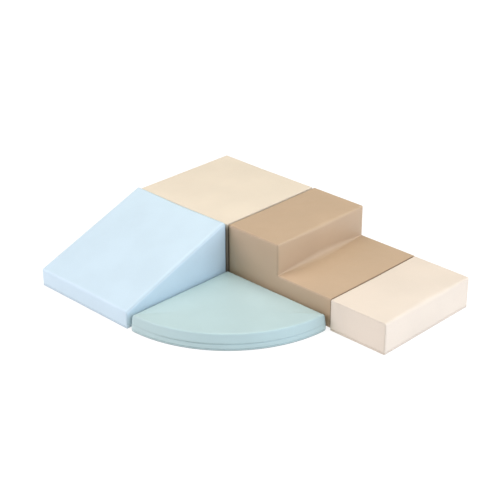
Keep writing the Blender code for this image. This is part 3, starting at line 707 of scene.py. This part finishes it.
def skin_mesh(shape, skin, grooved):
    """A block's skin, open at its foot: the mesh, its seam distances and its rim."""
    mesh_maker = bmesh.new()
    seam = mesh_maker.verts.layers.float.new("seam")
    rows = []
    for y, inset, across in stations(skin, grooved):
        row = add_ring(mesh_maker, [(p.x, y, p.y) for p in section(shape, skin, inset, across)])
        for vertex in row:
            vertex[seam] = max(0.0, min(MODULE_WIDTH / 2 - abs(y), vertex.co.z - skin.bottom))
        rows.append(row)
    for first, second in zip(rows, rows[1:]):
        bridge_rings(mesh_maker, first, second, closed=False)
    near_foot = add_side_panel(mesh_maker, seam, shape, skin, rows[0], 1)
    far_foot = add_side_panel(mesh_maker, seam, shape, skin, rows[-1], -1)
    rim = [row[0] for row in rows] + far_foot[::-1] + [row[-1] for row in reversed(rows)] + near_foot
    for roll in shape.rolls:
        roll_edge(mesh_maker, shape, *roll)
    return mesh_maker, seam, rim


def depth_in_edge(inward, below):
    """How deep a point lies under a long edge with the seam's own round."""
    if max(inward, below) > SEAM_RADIUS:
        return min(inward, below)
    return SEAM_RADIUS - math.hypot(SEAM_RADIUS - inward, SEAM_RADIUS - below)


def roll_edge(mesh_maker, shape, run, side, full, tapered):
    """Rounds the long edge at one side of a run of the outline, less towards its tapered ends."""
    start = shape.outline[run]
    length = (shape.outline[run + 1] - start).length
    direction = (shape.outline[run + 1] - start) / length
    outward = Vector((-direction.y, direction.x))
    for vertex in mesh_maker.verts:
        spot = Vector((vertex.co.x, vertex.co.z)) - start
        along = spot.dot(direction)
        rooms = [place for place, ending in zip((along, length - along), tapered) if ending]
        share = max(0.0, min([1.0] + [room / ROLL_TAPER for room in rooms]))
        radius = SEAM_RADIUS + (full - SEAM_RADIUS) * share * share * (3 - 2 * share)
        inward = MODULE_WIDTH / 2 - side * vertex.co.y
        below = -spot.dot(outward)
        if max(inward, below) < radius:
            offset = Vector((inward - radius, below - radius))
            move = offset.normalized() * (radius - depth_in_edge(inward, below)) - offset
            vertex.co += Vector((-outward.x * move.y, -side * move.x, -outward.y * move.y))


def plan_outward(point, length):
    """The outward direction at the rim of a straight block."""
    side = MODULE_WIDTH / 2 - SEAM_RADIUS
    x = max(SEAM_RADIUS, min(length - SEAM_RADIUS, point.x))
    y = max(-side, min(side, point.y))
    return (point - Vector((x, y, point.z))).normalized()


def add_hem(mesh_maker, rim, length, steps):
    """Continues a straight block's rim by steps of inset and rise."""
    starts = [vertex.co.copy() for vertex in rim]
    for inset, rise in steps:
        points = [start - plan_outward(start, length) * inset + Vector((0, 0, rise)) for start in starts]
        inner = add_ring(mesh_maker, points)
        bridge_rings(mesh_maker, rim, inner)
        rim = inner
    return rim


def hem_steps():
    """Inset and rise along a rolled hem: it turns in to the seam and ends in its allowance."""
    steps = []
    for step in range(1, 4):
        angle = QUARTER_TURN * step / 3
        steps.append((HEM_ROLL * (1 - math.cos(angle)), -HEM_ROLL * math.sin(angle)))
    return steps + [(HEM_ALLOWANCE, -HEM_ROLL)]


def cut_slot(mesh_maker, middle, half, y):
    """Opens a zip's slot in the side at y, between two ends and up to the slot's height."""
    side = 1 if y > 0 else -1
    top = SEAM_HEIGHT + ZIP_SLOT_HEIGHT
    depth = abs(y) - HEM_ALLOWANCE - VINYL

    def near_side(face):
        return side * face.calc_center_median().y > depth

    planes = ((middle - half, EAST), (middle + half, EAST), (top, UP))
    for place, normal in planes:
        geometry = geometry_of([face for face in mesh_maker.faces if near_side(face)])
        bmesh.ops.bisect_plane(
            mesh_maker, geom=geometry, dist=NEAR, plane_co=normal * place, plane_no=normal
        )
    doomed = []
    for face in mesh_maker.faces:
        centre = face.calc_center_median()
        if near_side(face) and abs(centre.x - middle) < half and centre.z < top:
            doomed.append(face)
    bmesh.ops.delete(mesh_maker, geom=doomed, context="FACES")


def cover_mesh(shape, zip_place):
    """A block's cover: seamed panels, rolled hem and the zip's slot."""
    skin = Skin(0.0, SEAM_HEIGHT + FIT_GAP + HEM_ROLL, SIDE_SWELL, FINE_EDGES, FINE_SPACING)
    mesh_maker, seam, rim = skin_mesh(shape, skin, True)
    add_hem(mesh_maker, rim, shape.length(), hem_steps())
    ripple(mesh_maker, seam)
    cut_slot(mesh_maker, *zip_place)
    return mesh_maker


def core_mesh(shape, floor=VINYL + FIT_GAP, chamfer=CORE_CHAMFER):
    """A foam core: the block's form under its cover, trimmed back along the base seam."""
    skin = Skin(VINYL + FIT_GAP, floor + chamfer, SIDE_SWELL * CORE_SWELL_SHARE, CORE_EDGES, CORE_SPACING)
    mesh_maker, _, rim = skin_mesh(shape, skin, False)
    if chamfer:
        rim = add_hem(mesh_maker, rim, shape.length(), [(chamfer, -chamfer)])
    mesh_maker.faces.new(rim)
    return mesh_maker


# Plans


def arc_points(centre, radius, start, turn, steps):
    points = []
    for step in range(steps + 1):
        angle = start + turn * step / steps
        x = centre[0] + radius * math.cos(angle)
        y = centre[1] + radius * math.sin(angle)
        points.append(Vector((x, y)))
    return points


def rounded_rectangle(left, right, half_width, radius, steps):
    """A rectangle with rounded corners, from left to right and half_width to either side."""
    points = []
    side = half_width - radius
    near = left + radius
    far = right - radius
    for quarter, centre in enumerate(((far, side), (near, side), (near, -side), (far, -side))):
        points += arc_points(centre, radius, QUARTER_TURN * quarter, QUARTER_TURN, steps)
    return points


def pad_plan(inset, bulge=0.0):
    """The quarter-round pad's plan, drawn in by inset, with its curved side pushed out by bulge."""
    corner = max(PAD_CORNER_RADIUS - inset, LEAST_RADIUS)
    tip = max(PAD_TIP_RADIUS - inset, LEAST_RADIUS)
    near = inset + corner
    offset = inset + tip
    middle_x, middle_y = PAD_CENTRE
    span = PAD_RADIUS + PAD_FULLNESS - offset
    reach_x = middle_x + math.sqrt(span**2 - (offset - middle_y) ** 2)
    reach_y = middle_y + math.sqrt(span**2 - (offset - middle_x) ** 2)
    start = math.atan2(offset - middle_y, reach_x - middle_x)
    end = math.atan2(reach_y - middle_y, offset - middle_x)
    steps = PAD_CORNER_STEPS
    points = arc_points((near, near), corner, 2 * QUARTER_TURN, QUARTER_TURN, steps)
    points += [Vector((near + (reach_x - near) * share, inset)) for share in PAD_WALL_SHARES]
    points += arc_points((reach_x, offset), tip, -QUARTER_TURN, QUARTER_TURN + start, steps)
    for step in range(1, PAD_ARC_STEPS):
        share = step / PAD_ARC_STEPS
        angle = start + (end - start) * share
        swell = bulge * min(1, share / PAD_SWELL_END_SHARE, (1 - share) / PAD_SWELL_END_SHARE)
        distance = PAD_RADIUS + PAD_FULLNESS - inset + swell
        x = middle_x + distance * math.cos(angle)
        y = middle_y + distance * math.sin(angle)
        points.append(Vector((x, y)))
    points += arc_points((offset, reach_y), tip, end, 2 * QUARTER_TURN - end, steps)
    points += [Vector((inset, reach_y + (near - reach_y) * share)) for share in PAD_WALL_SHARES]
    return points


def arc_weights():
    """For each point of the pad's plan, how far it belongs to the curved side, not to a wall."""
    steps = [step / PAD_CORNER_STEPS for step in range(PAD_CORNER_STEPS + 1)]
    rise = [share * share * (3 - 2 * share) for share in steps]
    walls = [0.0] * len(PAD_WALL_SHARES)
    return [0.0] * len(rise) + walls + rise + [1.0] * (PAD_ARC_STEPS - 1) + rise[::-1] + walls


def pad_ring(wall, arc):
    """A ring that follows one profile's inset and height at the walls, another's at the curve."""
    (wall_inset, wall_height), (arc_inset, arc_height, bulge) = wall, arc
    points = []
    for near, far, weight in zip(pad_plan(wall_inset), pad_plan(arc_inset, bulge), arc_weights()):
        point = near.lerp(far, weight)
        points.append((point.x, point.y, wall_height + (arc_height - wall_height) * weight))
    return points


def level_ring(plan, height):
    return [Vector((point.x, point.y, height)) for point in plan]


def base_mesh(plan):
    """A base panel: a flat sheet whose edge turns up and rolls in to the seam all round."""
    mesh_maker = bmesh.new()
    rings = []
    for step in range(5):
        angle = QUARTER_TURN * step / 4
        inset = BASE_EDGE_RADIUS * (1 - math.sin(angle))
        rings.append(level_ring(plan(inset), BASE_EDGE_RADIUS * (1 - math.cos(angle))))
    start = SEAM_HEIGHT - HEM_ROLL
    rings.append(level_ring(plan(0.0), start))
    for inset, rise in hem_steps():
        rings.append(level_ring(plan(inset), start - rise))
    made = loft_rings(mesh_maker, rings)
    mesh_maker.faces.new(made[0])
    return mesh_maker


# The quarter-round pad


def pad_swell(height):
    """How far the pad's curved side swells out at a height."""
    share = (height - SEAM_HEIGHT) / (PAD_HEIGHT - SEAM_HEIGHT)
    return PAD_SIDE_SWELL * 4 * share * (1 - share)


def pad_lean(height):
    """How far the pad's curved side is drawn in at a height."""
    return PAD_LEAN * max(0.0, height - SEAM_HEIGHT) / (PAD_HEIGHT - SEAM_HEIGHT)


def pad_top(depth, lip):
    """The pad's shoulders and crowned top at a depth under its face: wall and curve profiles."""
    wide, high = PAD_WALL_SHOULDER
    rim = PAD_HEIGHT - PAD_WALL_DROP
    profiles = []
    for step in range(PAD_SHOULDER_STEPS + 1):
        angle = QUARTER_TURN * step / PAD_SHOULDER_STEPS
        radius = PAD_SHOULDER_RADIUS - depth
        height = PAD_HEIGHT - PAD_SHOULDER_RADIUS + radius * math.sin(angle)
        bulge = (pad_swell(height) + lip) * math.cos(angle)
        lean = pad_lean(PAD_HEIGHT - PAD_SHOULDER_RADIUS)
        arc = (lean + PAD_SHOULDER_RADIUS - radius * math.cos(angle), height, bulge)
        inset = wide - (wide - depth) * math.cos(angle)
        profiles.append(((inset, rim - high + (high - depth) * math.sin(angle)), arc))
    for share in PAD_TOP_SHARES:
        crown = 1 - (1 - share) ** 2
        wall = (wide + PAD_TOP_REACH * share, rim - depth + PAD_WALL_DROP * crown)
        inset = PAD_LEAN + PAD_SHOULDER_RADIUS + PAD_TOP_REACH * share
        profiles.append((wall, (inset, PAD_HEIGHT - depth, 0.0)))
    return profiles


def pad_skin(profiles):
    """The pad's skin through rings of wall and curve profiles, with a gridded top."""
    mesh_maker = bmesh.new()
    seam = mesh_maker.verts.layers.float.new("seam")
    rings = loft_rings(mesh_maker, [pad_ring(wall, arc) for wall, arc in profiles])
    field = mesh_maker.faces.new(rings[-1])
    high = Vector((PAD_RADIUS, PAD_RADIUS, 0))
    for vertex in cut_field(mesh_maker, field, FINE_SPACING, Vector(), high, (EAST, NORTH)):
        vertex[seam] = RIPPLE_START
    return mesh_maker, seam, rings


def pad_cover_mesh():
    """The pad's cover: hem, lower side, lapped upper side, shoulders and crowned top."""
    start = SEAM_HEIGHT + FIT_GAP + HEM_ROLL
    lap = PAD_LAP_HEIGHT
    under = pad_swell(lap) - PAD_LAP_LIP
    over = pad_swell(lap) + PAD_LAP_LIP
    inside = PAD_HEIGHT - PAD_WALL_DROP - PAD_WALL_SHOULDER[1]
    lip = PAD_LAP_LIP * PAD_UPPER_LIP_SHARE
    lower = (start, *PAD_LOWER_HEIGHTS, lap + PAD_BELOW_LAP)
    sides = [(height, pad_swell(height)) for height in lower]
    sides += [(lap + rise, under) for rise in PAD_UNDER_LAP]
    sides += [(lap + rise, over + change) for rise, change in PAD_OVER_LAP]
    sides += [(height, pad_swell(height) + lip) for height in PAD_UPPER_HEIGHTS]
    profiles = []
    for inset, rise in reversed(hem_steps()):
        profiles.append(((inset, start + rise), (inset, start + rise, 0.0)))
    for height, bulge in sides:
        wall = (0.0, start + (inside - start) * (height - start) / (PAD_WALL_TOP - start))
        profiles.append((wall, (pad_lean(height), height, bulge)))
    profiles += pad_top(0.0, lip)
    mesh_maker, seam, rings = pad_skin(profiles)
    for ring, (_, (inset, height, _)) in zip(rings, profiles):
        for vertex in ring:
            beside_seam = min(abs(height - SEAM_HEIGHT), abs(height - lap))
            vertex[seam] = beside_seam + max(0.0, inset - PAD_LEAN)
    ripple(mesh_maker, seam)
    return mesh_maker


def pad_core_mesh():
    """The pad's foam: a crowned slab, trimmed back along the base seam."""
    depth = VINYL + FIT_GAP
    foot = (depth + CORE_CHAMFER, depth)
    shoulder = depth + CORE_CHAMFER
    side = (depth, shoulder)
    curved_side = (depth + pad_lean(shoulder), shoulder, pad_swell(shoulder))
    profiles = [(foot, (*foot, 0.0)), (side, curved_side)]
    profiles += pad_top(depth, 0.0)
    mesh_maker, _, rings = pad_skin(profiles)
    mesh_maker.faces.new(rings[0])
    return mesh_maker


# Zips: X runs along the teeth, Y points out of the block and is zero on its outer face


def add_box(mesh_maker, low, high, chamfer):
    """A small box between two corners, with its outer (+Y) face drawn in by a chamfer."""
    (left, back, bottom), (right, face, top) = low, high
    rings = []
    for y, inset in ((back, 0.0), (face - chamfer, 0.0), (face, chamfer)):
        lower = [(left + inset, y, bottom + inset), (right - inset, y, bottom + inset)]
        rings.append(lower + [(right - inset, y, top - inset), (left + inset, y, top - inset)])
    close_ends(mesh_maker, loft_rings(mesh_maker, rings))


def chain_mesh(length):
    """A closed zip: two tapes, two rows of teeth that lock in between each other, and stops."""
    mesh_maker = bmesh.new()
    face = -(VINYL + FIT_GAP)
    back = face - TAPE_THICKNESS
    middle = SEAM_HEIGHT + ZIP_SLOT_HEIGHT / 2
    low = SEAM_HEIGHT - TAPE_OVERLAP_BELOW
    high = SEAM_HEIGHT + ZIP_SLOT_HEIGHT + TAPE_OVERLAP_ABOVE
    half = length / 2
    for start, end in ((low, middle - FIT_GAP / 2), (middle + FIT_GAP / 2, high)):
        add_box(mesh_maker, (-half, back, start), (half, face, end), TAPE_THICKNESS / 3)
    inner = half - STOP_LENGTH
    edge = TEETH_WIDTH / 2
    for index in range(int(2 * inner / TOOTH_PITCH)):
        for side in (-1, 1):
            left = -inner + TOOTH_PITCH * (index + 0.5 + side / 4) - TOOTH_LENGTH / 2
            bottom, top = sorted((middle + side * edge, middle + side * (edge - TOOTH_REACH)))
            corner = (left + TOOTH_LENGTH, face + TOOTH_HEIGHT, top)
            add_box(mesh_maker, (left, face, bottom), corner, TOOTH_LENGTH / 4)
    for left in (-half, inner):
        corner = (left + STOP_LENGTH, face + STOP_HEIGHT, middle + edge)
        add_box(mesh_maker, (left, face, middle - edge), corner, TOOTH_LENGTH / 2)
    return mesh_maker


# Strips: X and Z lie in the strip, and its face points along Y


def strip_mesh(length, width, thickness):
    """A hook-and-loop strip with rounded edges and a row of stitches round it."""
    mesh_maker = bmesh.new()
    rings = []
    third = STRIP_ROUND / 3
    edge = ((thickness, 0.0), (STRIP_ROUND, 0.0), (third, third), (0.0, STRIP_ROUND))
    for below, inset in edge:
        half = length / 2 - inset
        plan = rounded_rectangle(-half, half, width / 2 - inset, STRIP_CORNER - inset, 5)
        rings.append([(p.x, thickness - below, p.y) for p in plan])
    close_ends(mesh_maker, loft_rings(mesh_maker, rings))
    add_stitches(mesh_maker, length / 2 - STITCH_INSET, width / 2 - STITCH_INSET, thickness)
    return mesh_maker


def add_stitches(mesh_maker, half_length, half_width, face):
    """Short threads sunk into a strip's face, round its border."""
    out = Vector((0, STITCH_RADIUS, 0))
    corner = Vector((-half_length, face, -half_width))
    sides = [(corner, EAST, half_length), (corner + UP * 2 * half_width, EAST, half_length)]
    sides += [(corner, UP, half_width), (corner + EAST * 2 * half_length, UP, half_width)]
    for start, direction, half in sides:
        count = int(2 * half / STITCH_PITCH)
        across = (UP if direction is EAST else EAST) * STITCH_RADIUS
        for index in range(count):
            middle = start + direction * (index + 0.5) * 2 * half / count
            rings = []
            for share, lift in ((-0.5, -0.5), (-0.3, 0.6), (0.3, 0.6), (0.5, -0.5)):
                at = middle + direction * STITCH_LENGTH * share
                below = out * (lift - 1)
                rings.append([at - across + below, at + across + below, at + out * lift])
            close_ends(mesh_maker, loft_rings(mesh_maker, rings))


# Placing


def turned(place, turn):
    return Matrix.Translation(place) @ Matrix.Rotation(turn, 4, "Z")


def facing_turn(facing):
    """The turn that points a piece's +Y along a direction."""
    return math.atan2(facing.y, facing.x) - QUARTER_TURN


def side_place(low, high, facing):
    """The middle of a box's side that faces a direction."""
    middle = (low + high) / 2
    return middle + facing * abs((high - low).dot(facing)) / 2


def block_place(body, turn):
    """The matrix of a straight block's frame, and its length, from its base panel."""
    low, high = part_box(body + "_base")
    along = Vector((round(math.cos(turn)), round(math.sin(turn)), 0))
    rear = side_place(low, high, -along)
    rear.z = 0
    return turned(rear, turn), abs((high - low).dot(along))


def add_strip(name, body, colour, facing):
    """A strip in place of its CAD node."""
    low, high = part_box(name)
    size = high - low
    length, thickness = (size.x, size.y) if facing.y else (size.y, size.x)
    place = turned(side_place(low, high, -facing), facing_turn(facing))
    mesh_maker = strip_mesh(length, size.z, thickness)
    add_piece(name + "_sewn", mesh_maker, place, body, colour + "_webbing", name)


def add_zip(body, colour, facing):
    """A zip chain in place of its CAD node: returns its middle and its length."""
    name = body + "_zip_chain"
    low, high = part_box(name)
    length = (high - low).x if facing.y else (high - low).y
    middle = (low + high) / 2
    side = side_place(*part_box(body + "_base"), facing)
    foot = Vector((middle.x, side.y, 0)) if facing.y else Vector((side.x, middle.y, 0))
    place = turned(foot, facing_turn(facing))
    add_piece(name + "_woven", chain_mesh(length), place, body, colour + "_webbing", name)
    return foot, length


def add_sheet(name, mesh_maker, place, body, slot, node):
    """A sewn vinyl piece, with its real thickness."""
    sheet = add_piece(name, mesh_maker, place, body, slot, node)
    add_thickness(sheet, VINYL)
    return sheet


def joint_share(spot, low, high, top, reach, depth):
    """How far a point stands in a joint to a neighbouring block, from 0 to 1."""
    beside = max(low.x - spot.x, 0.0, spot.x - high.x)
    gap = math.hypot(beside, max(low.y - spot.y, 0.0, spot.y - high.y))
    near = max(0.0, min(1.0, (reach - gap) / JOINT_FADE))
    return near * max(0.0, min(1.0, (top - spot.z) / depth))


def shade_joints(cover, body):
    """Keeps each vertex's share of the painted joint shade for the cover's material."""
    neighbours = []
    for other, height in HEIGHTS.items():
        if other != body:
            top = min(height, HEIGHTS[body])
            is_open = (body, other) == OPEN_JOINT
            reach = OPEN_JOINT_REACH if is_open else JOINT_REACH
            depth = OPEN_JOINT_DEPTH if is_open else JOINT_DEPTH
            neighbours.append((*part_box(other + "_base"), top, reach, depth))
    joint = cover.data.attributes.new("joint", "FLOAT", "POINT")
    for vertex, item in zip(cover.data.vertices, joint.data):
        item.value = max(joint_share(vertex.co, *beside) for beside in neighbours)


def dress_block(body, colour, turn, shape_of, zip_facing, cores_of):
    """A straight block's cover, base panel, foam and zip."""
    place, length = block_place(body, turn)
    shape = shape_of(length)
    foot, zip_length = add_zip(body, colour, zip_facing)
    spot = place.inverted() @ foot
    zip_place = (spot.x, zip_length / 2 + FIT_GAP, math.copysign(MODULE_WIDTH / 2, spot.y))
    slot = colour + "_vinyl"
    mesh_maker = cover_mesh(shape, zip_place)
    cover = add_sheet(body + "_cover_sewn", mesh_maker, place, body, slot, body + "_cover")
    shade_joints(cover, body)

    def plan(inset):
        radius = max(SEAM_RADIUS - inset, LEAST_RADIUS)
        return rounded_rectangle(inset, length - inset, MODULE_WIDTH / 2 - inset, radius, 4)

    add_sheet(body + "_base_sewn", base_mesh(plan), place, body, slot, body + "_base")
    for name, mesh_maker, shift in cores_of(shape):
        spot = place @ Matrix.Translation((shift, 0, 0))
        add_piece(name + "_foam", mesh_maker, spot, body, "foam", name)


def dress_pad(body, slot):
    """The quarter-round pad's cover, base panel, foam and zip."""
    _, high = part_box(body + "_base")
    place = turned((high.x, high.y, 0), 2 * QUARTER_TURN)
    foot, zip_length = add_zip(body, "mint", NORTH)
    mesh_maker = pad_cover_mesh()
    cut_slot(mesh_maker, (place.inverted() @ foot).x, zip_length / 2 + FIT_GAP, -NEAR)
    add_sheet(body + "_cover_sewn", mesh_maker, place, body, slot, body + "_cover")
    add_sheet(body + "_base_sewn", base_mesh(pad_plan), place, body, slot, body + "_base")
    add_piece(body + "_core_foam", pad_core_mesh(), place, body, "foam", body + "_core")


def corner_cores(shape):
    split = BLOCK_HEIGHT / 2
    lower = box_shape(shape.length(), split, TIGHT_FOLD, (FLAT, FLAT, FLAT))
    upper = core_mesh(shape, split + FIT_GAP, 0.0)
    return [("corner_block_core_lower", core_mesh(lower), 0.0), ("corner_block_core_upper", upper, 0.0)]


def ramp_cores(shape):
    return [("ramp_core", core_mesh(shape), 0.0)]


def stairs_cores(shape):
    rolls = [(0, STAIRS_NEAR_SIDE, STAIRS_ROLL, WHOLE_EDGE)]
    high = box_shape(TREAD_DEPTH, BLOCK_HEIGHT, SOFT_FOLD, (SWOLLEN, TOP_CROWN, FLAT), rolls)
    start = TREAD_DEPTH - 2 * (VINYL + FIT_GAP) + FIT_GAP
    crowns = (FLAT, FLAT, SWOLLEN)
    rolls = [(0, STAIRS_NEAR_SIDE, TREAD_ROLL, FROM_RISER)]
    low = box_shape(shape.length() - start, STEP_HEIGHT, TREAD_FOLD, crowns, rolls)
    return [("stairs_core_high", core_mesh(high), 0.0), ("stairs_core_low", core_mesh(low), start)]


def end_block_cores(shape):
    return [("end_block_core", core_mesh(shape), 0.0)]


def refine_fitting(body, colour):
    """Gives a slider and its pull a moulded edge and finish."""
    for part in ("_zip_slider", "_zip_pull"):
        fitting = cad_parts[body + part]
        fitting.data.materials.clear()
        fitting.data.materials.append(FINISHES[colour + "_plastic"])
        edge = fitting.modifiers.new("moulded_edges", "BEVEL")
        edge.width = MOULDED_EDGE
        edge.segments = 2


# Floor, light and camera


def add_floor():
    mesh = bpy.data.meshes.new("floor")
    corners = [(-1, -1), (1, -1), (1, 1), (-1, 1)]
    mesh.from_pydata([(x * FLOOR_REACH, y * FLOOR_REACH, 0) for x, y in corners], [], [(0, 1, 2, 3)])
    floor = bpy.data.objects.new("floor", mesh)
    bpy.context.scene.collection.objects.link(floor)
    floor.data.materials.append(floor_finish())


def add_area_light(name, place, size, power, colour):
    data = bpy.data.lights.new(name, "AREA")
    data.shape = "DISK"
    data.size = size
    data.energy = power
    data.color = colour
    light = bpy.data.objects.new(name, data)
    bpy.context.scene.collection.objects.link(light)
    light.location = place
    light.rotation_euler = (Vector(LIGHT_TARGET) - Vector(place)).to_track_quat("-Z", "Y").to_euler()


def add_world():
    world = bpy.data.worlds.new("studio")
    world.use_nodes = True
    background = world.node_tree.nodes["Background"]
    background.inputs["Color"].default_value = (*WORLD_COLOUR, 1.0)
    background.inputs["Strength"].default_value = WORLD_STRENGTH
    bpy.context.scene.world = world


def add_camera():
    data = bpy.data.cameras.new("camera")
    data.sensor_width = SENSOR_WIDTH
    data.lens = CAMERA_FOCUS_PIXELS * SENSOR_WIDTH / PICTURE_PIXELS
    camera = bpy.data.objects.new("camera", data)
    bpy.context.scene.collection.objects.link(camera)
    camera.location = CAMERA_PLACE
    camera.rotation_euler = (QUARTER_TURN + CAMERA_PITCH, 0, CAMERA_YAW - QUARTER_TURN)
    bpy.context.scene.camera = camera


FINISHES = {"foam": foam_finish("foam_cells", FOAM_COLOUR)}
for colour_name, rgb in COLOURS.items():
    foot_shade = FOOT_SHADES[colour_name]
    FINISHES[colour_name + "_vinyl"] = vinyl_finish(colour_name + "_coated_vinyl", rgb, foot_shade)
    FINISHES[colour_name + "_webbing"] = webbing_finish(colour_name + "_woven_webbing", rgb)
    FINISHES[colour_name + "_plastic"] = plastic_finish(colour_name + "_moulded_plastic", rgb)

dress_block("corner_block", "cream", 0.0, corner_shape, NORTH, corner_cores)
dress_block("ramp", "sky", 2 * QUARTER_TURN, ramp_shape, NORTH, ramp_cores)
dress_block("stairs", "tan", -QUARTER_TURN, stairs_shape, EAST, stairs_cores)
dress_block("end_block", "ivory", -QUARTER_TURN, end_block_shape, EAST, end_block_cores)
dress_pad("pad", "mint_vinyl")

for strip_name, body_name, facing in STRIPS:
    add_strip(strip_name, body_name, BODY_COLOURS[body_name], facing)
for body_name, colour_name in BODY_COLOURS.items():
    refine_fitting(body_name, colour_name)

add_floor()
add_world()
for light_name, settings in LIGHTS.items():
    add_area_light(light_name, *settings)
add_camera()
bpy.context.scene.view_settings.view_transform = "Standard"
